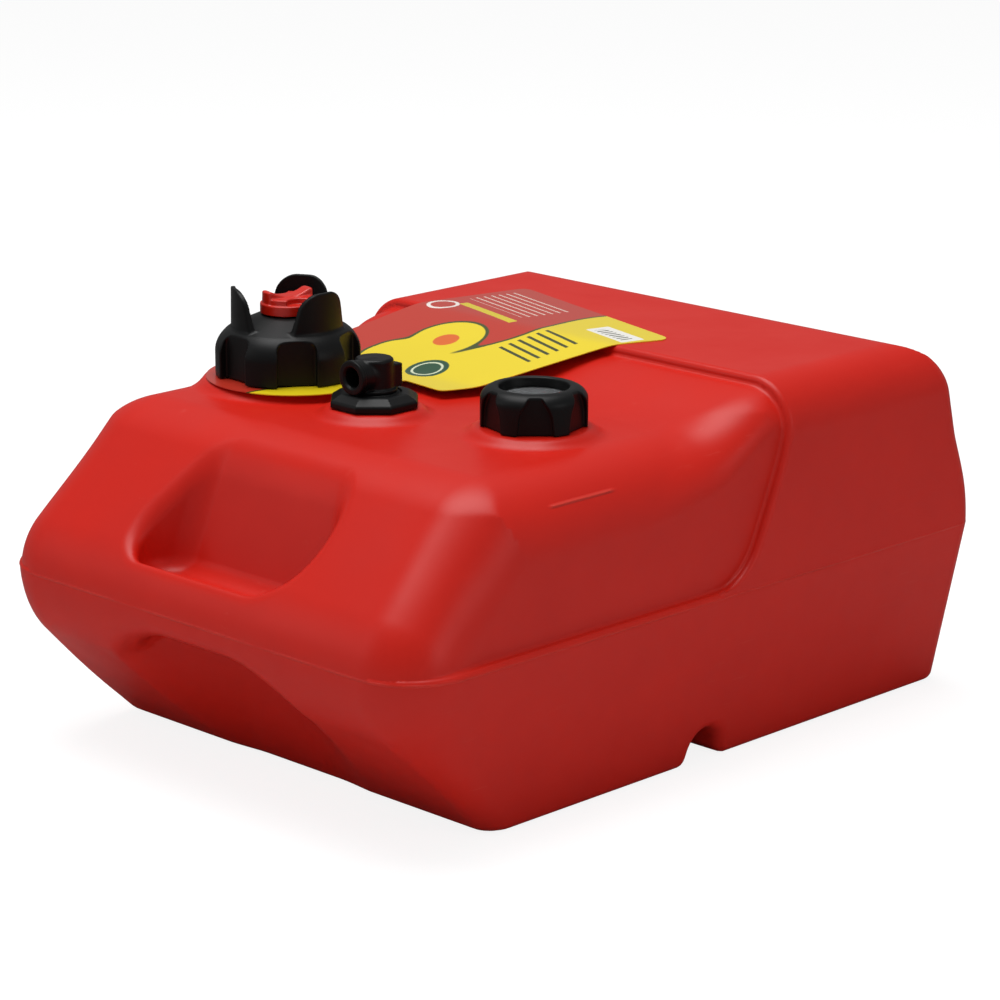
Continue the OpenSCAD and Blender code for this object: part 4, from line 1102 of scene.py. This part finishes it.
@dataclass
class FuelOutlet:
    """Eight-sided flange and the elbow that swivels in it."""

    at: Tuple[float, float, float] = (-9.0, -87.0, 199.0)
    flats: int = 8
    flange_r: float = 26.5
    flange_h: float = 8.5
    socket: float = 8.0
    plug_r: float = 15.0
    plug_d: float = 19.0
    column_r: float = 11.0
    elbow_h: float = 28.0
    port_z: float = 18.6
    port_r: float = 9.3
    reach: float = 18.0
    port_bore: float = 5.6
    port_deep: float = 12.0
    way: float = 3.5
    spigot_h: float = 13.6

    def flange(self, x: Array, y: Array, z: Array) -> Array:
        """The flange with its plug, chamber and socket.

        Args:
            x, y, z: places from its own origin (mm).

        Returns:
            The field (mm), negative inside.
        """
        r = np.hypot(x, y)
        flat = sector(x, y, self.flats)[0] - self.flange_r * math.cos(math.pi / self.flats)
        slope = flat * 0.558 + (z - self.flange_h + 4.0) * 0.83
        top = rmax(rmax(rmax(flat, slope, 1.0), z - self.flange_h, 0.8), 1 - z, 0.4)
        top = rmax(top, -rmax(r - 15.2, self.flange_h - 0.9 - z, 0.3), 0.4)
        top = rmin(top, rmax(r - 13.6, np.abs(z - 4.5) - self.flange_h + 4.6, 0.4), 0.3)
        middle = self.plug_d / 2
        plug = rmax(r - self.plug_r, np.abs(z + middle - 1.5) - middle - 1.4, 0.3)
        solid = rmax(np.minimum(top, plug), self.socket - r, 0.2)
        return rmax(solid, -rmax(r - self.socket - 1.5, np.abs(z + 12) - 3, 0.1), 0.1)

    def spigot(self, r: Array, z: Array) -> Array:
        """The elbow's spigot with its two grooves, for the seal and the snap ring.

        Args:
            r: distance from the axis (mm).
            z: height (mm).

        Returns:
            The field (mm), negative inside.
        """
        pin = rmax(r - self.socket + 0.06, np.abs(z + 2.3) - 11.2, 0.4)
        pin = rmax(pin, -rmax(6.44 - r, np.abs(z + 1) - 1, 0.1), 0.1)
        return rmax(pin, -rmax(6.84 - r, np.abs(z + 9.9) - 0.8, 0.1), 0.1)

    def elbow(self, x: Array, y: Array, z: Array) -> Array:
        """The elbow: spigot, column, port and back boss.

        Args:
            x, y, z: places from its own origin (mm).

        Returns:
            The field (mm), negative inside.
        """
        r, q = np.hypot(x, y), np.hypot(x, z - self.port_z)
        low = self.flange_h + 0.1
        column = rmax(rmax(r - self.column_r, z - self.elbow_h, 2.0), low - z, 0.3)
        collar = rmax(r - self.column_r - 2, np.abs(z - low - 1) - 1, 0.5)
        port = rmax(rmax(q - self.port_r, y, 0.3), -self.reach - y, 0.6)
        lip = rmax(q - self.port_r - 0.7, np.abs(y + self.reach - 1.5) - 1.5, 0.6)
        boss = rmax(rmax(np.abs(x) - self.column_r + 2, y - self.column_r - 3, 1.2), np.abs(y - 7) - 7, 1.0)
        boss = rmax(boss, np.abs(z - (low + self.elbow_h - 2) / 2) - (self.elbow_h - low - 6) / 2, 1.0)
        solid = rmin(rmin(column, collar, 1.0), rmin(rmin(port, lip, 0.4), boss, 0.8), 1.2)
        solid = np.minimum(solid, self.spigot(r, z))
        mouth = np.maximum(-y - self.reach + 1.2, 0) * 0.8
        bore = rmax(q - self.port_bore - mouth, y + self.reach - self.port_deep, 0.3)
        way = rmax(q - self.way, y, 0.2)
        down = rmax(r - self.way, z - self.port_z, 0.2)
        return rmax(solid, -np.minimum(np.minimum(bore, way), down), 0.4)

    def build(self) -> None:
        """Draws the flange and the elbow."""
        plan, half = even(-self.flange_r, self.flange_r, 0.6), self.column_r + 2
        flange = Skin(self.flange, plan, plan, even(-self.plug_d, self.flange_h, 0.6))
        made = flange.mesh("pickup_flange_skin", self.at)
        dress(made, Paint.BLACK, Body.TANK, "fitting_black", "pickup_base")
        xs, ys = even(-half, half, 0.5), even(-self.reach, half + 1, 0.5)
        elbow = Skin(self.elbow, xs, ys, even(-self.spigot_h, self.elbow_h, 0.5))
        made = elbow.mesh("pickup_elbow_skin", self.at)
        dress(made, Paint.BLACK, Body.ELBOW, "fitting_black", "pickup_elbow")


# ------------------------------------------------------------- grown by nodes


class Growth:
    """A Geometry Nodes tree with named inputs, run once and kept as a plain mesh."""

    def __init__(self, name: str, sizes: Dict[str, Tuple[str, Any]]) -> None:
        """Opens the tree.

        Args:
            name: the tree's name.
            sizes: input name to socket kind and value.
        """
        self.tree = bpy.data.node_groups.new(name, "GeometryNodeTree")
        face = self.tree.interface
        face.new_socket("Geometry", in_out="OUTPUT", socket_type="NodeSocketGeometry")
        self.values: Dict[str, Any] = {}
        for size, (kind, value) in sizes.items():
            key = face.new_socket(size, in_out="INPUT", socket_type="NodeSocket" + kind).identifier
            self.values[key] = value
        self.sizes = add(self.tree, "NodeGroupInput").outputs

    def add(self, kind: str, inputs: Optional[Dict[Any, Any]] = None, **settings: Any) -> Any:
        """Adds a node to the tree and gives its first output."""
        return add(self.tree, kind, inputs, **settings).outputs[0]

    def finish(self, name: str, geometry: Any, paint: Paint) -> Piece:
        """Ends the tree, runs it and keeps the result.

        Args:
            name: the piece's name.
            geometry: the last geometry socket.
            paint: the finish that the tree sets.

        Returns:
            The linked object, with no modifier left.
        """
        real = self.add("GeometryNodeRealizeInstances", {"Geometry": geometry})
        inked = self.add("GeometryNodeSetMaterial", {"Geometry": real, "Material": paint.material()})
        add(self.tree, "NodeGroupOutput", {0: inked})
        host = stand(name + "_host", bpy.data.meshes.new(name + "_host"))
        grow = host.modifiers.new("grow", "NODES")
        grow.node_group = self.tree
        for key, value in self.values.items():
            grow[key] = value
        host.update_tag()
        bpy.context.view_layer.update()
        data = bpy.data.meshes.new_from_object(host.evaluated_get(bpy.context.evaluated_depsgraph_get()))
        host.modifiers.clear()
        bpy.data.objects.remove(host)
        return stand(name, data)


# ---------------------------------------------------------------- level gauge


@dataclass
class LevelGauge:
    """The gauge's screw ring and its dial's scale; its works stay as CAD nodes."""

    at: Tuple[float, float, float] = (86.0, -56.0, 199.0)
    radius: float = 30.0
    height: float = 23.0
    crown_r: float = 8.0
    crown_z: float = 14.5
    inner: float = 23.5
    window: float = 19.0
    window_z: float = 16.8
    notches: int = 6
    notch: float = 4.0
    turn: float = -44.6
    dial_z: float = 8.46
    marks: int = 9
    mark_ring: float = 14.5
    mark_sweep: float = 270.0
    mark_size: Tuple[float, float, float] = (3.2, 0.9, 0.1)

    def form(self, x: Array, y: Array, z: Array) -> Array:
        """The ring.

        Args:
            x, y, z: places from its own origin (mm).

        Returns:
            The field (mm), negative inside.
        """
        r = np.hypot(x, y)
        out = np.maximum(r - self.radius + self.crown_r, 0)
        crown = np.hypot(out, np.maximum(z - self.crown_z, 0)) - self.crown_r
        outer = rmax(rmax(r - self.radius, z - self.height, 2.0), crown - 0.15, 0.5)
        u, v = sector(x, y, self.notches, self.turn)
        side = (v - 10 + np.maximum(z, 0) * 0.1) / 1.005
        slant = (v - 5.2) * 0.85 + (z - 18.5) * 0.53
        cut = rmax(self.radius - self.notch - u, rmax(side, slant, 1.5), 1.0)
        hole = rmax(r - self.inner, z - self.window_z - 0.1, 0.3)
        eye = r - self.window - np.maximum(z - self.window_z, 0) * 0.16
        ring = rmax(rmax(rmax(outer, -cut, 1.1), -hole, 0.4), -eye, 1.0)
        return rmax(ring, 0.2 - z, 0.6)

    def ticks(self) -> Piece:
        """Scale marks on the dial: one small bar copied round an arc by Geometry Nodes.

        Returns:
            The scale, as one piece.
        """
        sizes = {
            "Count": ("Int", self.marks),
            "Radius": ("Float", self.mark_ring * MM),
            "Sweep": ("Float", math.radians(self.mark_sweep)),
            "Start": ("Float", math.radians(90 - self.mark_sweep / 2)),
            "Bar": ("Vector", tuple(s * MM for s in self.mark_size)),
            "Centre": ("Vector", (self.at[0] * MM, self.at[1] * MM, (self.at[2] + self.dial_z) * MM)),
        }
        tree = Growth("dial_ticks", sizes)
        given, maths = tree.sizes, "ShaderNodeMath"
        points = tree.add("GeometryNodePoints", {"Count": given["Count"]})
        last = tree.add(maths, {0: given["Count"], 1: 1.0}, operation="SUBTRACT")
        share = tree.add(maths, {0: tree.add("GeometryNodeInputIndex"), 1: last}, operation="DIVIDE")
        turn = {0: share, 1: given["Sweep"], 2: given["Start"]}
        angle = tree.add(maths, turn, operation="MULTIPLY_ADD")
        cos = tree.add(maths, {0: angle}, operation="COSINE")
        sin = tree.add(maths, {0: angle}, operation="SINE")
        way = tree.add("ShaderNodeCombineXYZ", {0: cos, 1: sin})
        wide = tree.add("ShaderNodeCombineXYZ", {0: given["Radius"], 1: given["Radius"]})
        moved = {0: way, 1: wide, 2: given["Centre"]}
        place = tree.add("ShaderNodeVectorMath", moved, operation="MULTIPLY_ADD")
        spread = tree.add("GeometryNodeSetPosition", {"Geometry": points, "Position": place})
        bar = tree.add("GeometryNodeMeshCube", {"Size": given["Bar"]})
        spin = tree.add("ShaderNodeCombineXYZ", {2: angle})
        round_dial = {"Points": spread, "Instance": bar, "Rotation": spin}
        return tree.finish("gauge_scale", tree.add("GeometryNodeInstanceOnPoints", round_dial), Paint.SCALE)

    def build(self) -> None:
        """Draws the ring and the dial's scale."""
        plan = even(-self.radius, self.radius, 0.62)
        ring = Skin(self.form, plan, plan, even(0, self.height, 0.6)).mesh("gauge_ring_skin", self.at)
        dress(ring, Paint.BLACK, Body.TANK, "fitting_black", "gauge_ring")
        dress(self.ticks(), Paint.SCALE, Body.TANK, "dial_white")


# ----------------------------------------------------------------- vent spring


@dataclass
class VentSpring:
    """The small coil spring over the vent disc."""

    at: Tuple[float, float] = (-100.0, -70.0)
    low: float = 224.14
    high: float = 233.55
    coil: float = 6.0
    wire: float = 0.55
    gap: float = 0.1
    turns: float = 5.0
    travel: float = 2.0

    def build(self) -> None:
        """Draws the coil with a Geometry Nodes spiral."""
        foot = self.low + self.wire + self.gap
        sizes = {
            "Turns": ("Float", self.turns),
            "Coil radius": ("Float", self.coil * MM),
            "Wire radius": ("Float", self.wire * MM),
            "Length": ("Float", (self.high - self.wire - self.gap - foot) * MM),
            "Base": ("Vector", (self.at[0] * MM, self.at[1] * MM, foot * MM)),
        }
        tree = Growth("coil_spring", sizes)
        given = tree.sizes
        coil = {"Resolution": 28, "Rotations": given["Turns"], "Height": given["Length"]}
        coil.update({"Start Radius": given["Coil radius"], "End Radius": given["Coil radius"]})
        spiral = tree.add("GeometryNodeCurveSpiral", coil)
        section = {"Resolution": 12, "Radius": given["Wire radius"]}
        swept = {"Curve": spiral, "Profile Curve": tree.add("GeometryNodeCurvePrimitiveCircle", section)}
        wire = tree.add("GeometryNodeCurveToMesh", {**swept, "Fill Caps": True})
        moved = tree.add("GeometryNodeTransform", {"Geometry": wire, "Translation": given["Base"]})
        smooth = tree.add("GeometryNodeSetShadeSmooth", {"Geometry": moved})
        made = tree.finish("vent_spring_coil", smooth, Paint.STEEL)
        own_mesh(made)
        dress(made, Paint.STEEL, Body.CAP, "spring_steel", "vent_spring")


# ------------------------------------------------------------------ label card


@dataclass
class LabelCard:
    """The printed card that hangs on the filler neck."""

    neck: Tuple[float, float] = (-100.0, -70.0)
    outlet: Tuple[float, float] = (-9.0, -87.0)
    radius: float = 53.0
    off: Tuple[float, float] = (5.0, 2.0)
    ring_from: float = 152.0
    ring_to: float = 386.0
    hole: float = 26.5
    thick: float = 0.5
    seat_z: float = 199.0
    high_z: float = 217.1
    step_y: float = 63.5
    rear: float = 77.0
    width: float = 165.0
    tongue: Tuple[float, float] = (62.0, 36.0)
    front_corner: Tuple[float, float] = (3.4, 49.4)
    tip_in: Tuple[float, float] = (32.0, 43.0)
    rear_run: Tuple[float, float] = (0.969, 0.26)
    left_corner: Tuple[float, float] = (-47.0, 34.0)
    rounds: Tuple[float, ...] = (6.0, 8.0, 8.0, 30.0)
    bend: float = 0.05
    strip: float = 4.0

    def lift(self, y: float) -> float:
        """Height of the card's underside: flat, a ramp, then flat, with soft bends.

        Args:
            y: place along Y in the frame (mm).

        Returns:
            The height in the frame (mm).
        """
        start = self.neck[1] + self.radius
        share = (y - start) / (self.step_y - 1 - start)
        soft = (math.hypot(share, self.bend) - math.hypot(share - 1, self.bend) + 1) / 2
        return self.seat_z + (self.high_z - self.seat_z) * soft

    def outline(self) -> List[Vector]:
        """The card's plan: an arc round the neck, then a sheet with round corners.

        Returns:
            The outline's points, anticlockwise (mm).
        """
        neck, run = Vector(self.neck), self.rear_run
        front = Vector([a + b for a, b in zip(self.outlet, self.front_corner)])
        tip = Vector((self.width / 2 - self.tip_in[0], self.step_y + self.rear - self.tip_in[1]))
        end = Vector((tip.x - self.width * run[0], tip.y + self.width * run[1]))
        corners = [front, tip, end, neck + Vector(self.left_corner)]
        start, stop = math.radians(self.ring_from), math.radians(self.ring_to)
        out: List[Vector] = []
        for k in range(61):
            t = start + (stop - start) * k / 60
            out.append(neck + Vector(self.off) + Vector((math.cos(t), math.sin(t))) * self.radius)
        out.append(neck + Vector(self.tongue))
        ends = [out[-1]] + corners + [out[0]]
        for before, p, after, r in zip(ends, corners, ends[2:], self.rounds):
            a, b = (before - p).normalized(), (after - p).normalized()
            cut = r / math.tan(max(a.angle(b), 0.2) / 2)
            cut = min(cut, 0.45 * min((before - p).length, (after - p).length))
            s, e = p + a * cut, p + b * cut
            for t in np.linspace(0, 1, 9):
                out.append(s * (1 - t) ** 2 + p * 2 * t * (1 - t) + e * t * t)
        return out

    def sheet(self) -> bmesh.types.BMesh:
        """The flat card with its hole, cut into strips that can bend.

        Returns:
            The open sheet at height 0, its faces up.
        """
        bm = bmesh.new()
        turn = np.linspace(0, 2 * math.pi, 64, endpoint=False)
        x, y = self.neck
        hole = [Vector((x + self.hole * math.cos(t), y + self.hole * math.sin(t))) for t in turn]
        edges = []
        for loop in (self.outline(), hole):
            verts = [bm.verts.new((p.x * MM, p.y * MM, 0)) for p in loop]
            edges += [bm.edges.new((a, b)) for a, b in zip(verts, verts[1:] + verts[:1])]
        bmesh.ops.triangle_fill(bm, use_beauty=True, use_dissolve=False, edges=edges)
        rows = np.arange(y - 50, self.step_y + self.rear + 20, self.strip)
        cuts = [((0, row * MM, 0), (0, 1, 0)) for row in rows]
        cuts += [((x * MM, 0, 0), (1, 0, 0)) for x in np.arange(-150, 60, 10.0)]
        for place, normal in cuts:
            whole = bm.verts[:] + bm.edges[:] + bm.faces[:]
            bmesh.ops.bisect_plane(bm, geom=whole, plane_co=place, plane_no=normal)
        for f in bm.faces:
            if f.normal.z < 0:
                f.normal_flip()
        return bm

    def build(self) -> None:
        """Bends the sheet, gives it its thickness and prints it."""
        bm = self.sheet()
        for v in bm.verts:
            v.co.z = self.lift(v.co.y / MM) * MM
        raised = bmesh.ops.extrude_face_region(bm, geom=bm.faces[:], use_keep_orig=True)["geom"]
        for v in raised:
            if isinstance(v, bmesh.types.BMVert):
                v.co.z += self.thick * MM
        bmesh.ops.recalc_face_normals(bm, faces=bm.faces[:])
        for f in bm.faces:
            f.smooth = True
        data = bpy.data.meshes.new("label_card_print")
        bm.to_mesh(data)
        bm.free()
        # Each face takes the normal of the bent sheet itself, and the cut rim its own.
        normals: List[Vector] = [Vector()] * len(data.loops)
        for f in data.polygons:
            for k in f.loop_indices:
                y = data.vertices[data.loops[k].vertex_index].co.y / MM
                bent = Vector((0, self.lift(y - 0.5) - self.lift(y + 0.5), 1)).normalized()
                flat = abs(f.normal.z) > 0.5
                normals[k] = bent * math.copysign(1, f.normal.z) if flat else f.normal.copy()
        data.normals_split_custom_set(normals)
        made = stand("label_card_print", data)
        dress(made, Paint.CARD, Body.TANK, "card_print", "label_card")


# ------------------------------------------------------------------ inner works


@dataclass
class Works:
    """CAD nodes that keep their own shape and get a finish."""

    finishes: Dict[Paint, Tuple[str, ...]] = field(
        default_factory=lambda: {
            Paint.TANK: ("filler_neck",),
            Paint.BLACK: ("cap_inner_cup", "gauge_body", "gauge_foot"),
            Paint.RUBBER: (
                "cap_gasket", "vent_seal", "pickup_gasket", "elbow_seal", "gauge_gasket", "gauge_lens_seal",
            ),
            Paint.STEM: ("vent_stem", "vent_disc"),
            Paint.STEEL: ("elbow_snap_ring", "gauge_rods", "gauge_strip"),
            Paint.TUBE: ("pickup_tube",),
            Paint.STRAINER: ("pickup_strainer",),
            Paint.WINDOW: ("gauge_lens",),
            Paint.DIAL: ("gauge_dial",),
            Paint.POINTER: ("gauge_pointer",),
            Paint.FOAM: ("gauge_float",),
        }
    )

    def build(self) -> None:
        """Puts each finish on its nodes."""
        for paint, names in self.finishes.items():
            for name in names:
                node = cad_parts[name]
                node.data.materials.clear()
                node.data.materials.append(paint.material())
                LOG.info("%s: %s", name, paint.value.name)


# ---------------------------------------------------------------------- studio


@dataclass(frozen=True)
class Lamp:
    """One rectangular soft lamp that looks at the tank (metres and watts)."""

    name: str
    at: Tuple[float, float, float]
    size: Tuple[float, float]
    power: float

    def build(self) -> None:
        """Hangs the lamp."""
        data = bpy.data.lights.new(self.name, "AREA")
        data.shape, data.energy = "RECTANGLE", self.power
        data.size, data.size_y = self.size
        made = stand(self.name, data)
        made.location = self.at
        made.rotation_mode = "QUATERNION"
        made.rotation_quaternion = (Vector((0, 0, 0.1)) - Vector(self.at)).to_track_quat("-Z", "Y")


@dataclass
class Studio:
    """Pale floor, soft lamps and the camera."""

    target: Tuple[float, float, float] = (0.0, -0.0489, 0.1128)
    distance: float = 2.0118
    azimuth: float = 45.39
    elevation: float = 16.12
    focal_px: float = 3483.42
    frame_px: float = 1000.0
    centre_px: Tuple[float, float] = (433.67, 541.71)
    sensor_mm: float = 36.0
    floor_half: float = 14.0
    lamps: Tuple[Lamp, ...] = (
        Lamp("overhead_softbox", (-0.25, -0.15, 2.2), (1.6, 1.6), 47.0),
        Lamp("left_front_softbox", (-1.6, -2.2, 1.3), (1.2, 1.6), 5.5),
        Lamp("right_fill", (2.6, 0.4, 1.0), (1.2, 1.2), 6.5),
    )

    def camera(self) -> None:
        """Stands the camera where the photograph was taken."""
        data = bpy.data.cameras.new("camera")
        data.sensor_width = self.sensor_mm
        data.lens = self.focal_px / self.frame_px * data.sensor_width
        data.shift_x = (self.frame_px / 2 - self.centre_px[0]) / self.frame_px
        data.shift_y = (self.centre_px[1] - self.frame_px / 2) / self.frame_px
        data.clip_start, data.clip_end = 0.05, 60.0
        a, e = math.radians(self.azimuth), math.radians(self.elevation)
        back = Vector((math.sin(a) * math.cos(e), -math.cos(a) * math.cos(e), math.sin(e)))
        made = stand("camera", data)
        made.location = Vector(self.target) + back * self.distance
        made.rotation_mode = "QUATERNION"
        made.rotation_quaternion = (-back).to_track_quat("-Z", "Y")
        bpy.context.scene.camera = made

    def floor(self) -> None:
        """A plain pale floor that keeps the shadow."""
        data = bpy.data.meshes.new("floor")
        s = self.floor_half
        data.from_pydata([(-s, -s, 0), (s, -s, 0), (s, s, 0), (-s, s, 0)], [], [(0, 1, 2, 3)])
        made = stand("floor", data)
        mat = bpy.data.materials.new("pale_floor")
        mat.use_nodes = True
        tree = mat.node_tree
        tree.nodes.clear()
        plain = add(tree, "ShaderNodeBsdfDiffuse", {"Color": (0.8, 0.8, 0.8, 1)}).outputs[0]
        white = add(tree, "ShaderNodeEmission", {"Color": (1, 1, 1, 1), "Strength": 1.2}).outputs[0]
        path = add(tree, "ShaderNodeLightPath").outputs
        share = add(tree, "ShaderNodeMath", {0: path["Is Camera Ray"], 1: 0.72}, operation="MULTIPLY")
        seen = add(tree, "ShaderNodeMixShader", {0: share.outputs[0], 1: plain, 2: white}).outputs[0]
        # Glossy rays meet a dimmer floor, so that the red and the black stay deep.
        dim = add(tree, "ShaderNodeBsdfDiffuse", {"Color": (0.2, 0.2, 0.2, 1)}).outputs[0]
        mix = add(tree, "ShaderNodeMixShader", {0: path["Is Glossy Ray"], 1: seen, 2: dim})
        add(tree, "ShaderNodeOutputMaterial", {"Surface": mix.outputs[0]})
        data.materials.append(mat)

    def world(self) -> None:
        """A white surround for the eye and a soft one for the light."""
        world = bpy.data.worlds.new("studio")
        bpy.context.scene.world = world
        world.use_nodes = True
        tree = world.node_tree
        tree.nodes.clear()
        path = add(tree, "ShaderNodeLightPath").outputs
        rays = {0: path["Is Camera Ray"], 1: path["Is Transmission Ray"]}
        seen = add(tree, "ShaderNodeMath", rays, operation="MAXIMUM").outputs[0]
        plain = add(tree, "ShaderNodeMapRange", {0: path["Is Glossy Ray"], 3: 0.34, 4: 0.24}).outputs[0]
        power = add(tree, "ShaderNodeMapRange", {0: seen, 3: plain, 4: 1.0}).outputs[0]
        back = add(tree, "ShaderNodeBackground", {"Color": (1, 1, 1, 1), "Strength": power})
        add(tree, "ShaderNodeOutputWorld", {"Surface": back.outputs[0]})

    def build(self) -> None:
        """Sets up the studio."""
        bpy.context.scene.view_settings.view_transform = "Standard"
        self.floor()
        self.world()
        for lamp in self.lamps:
            lamp.build()
        self.camera()
        LOG.info("studio: floor, %d soft lamps, camera", len(self.lamps))


def main() -> None:
    """Builds the tank's pieces in order."""
    for part in (TankBody, FillerCap, VentKnob, VentSpring, FuelOutlet, LevelGauge, LabelCard, Works, Studio):
        part().build()
    bpy.context.view_layer.update()


if __name__ == "__main__":
    main()
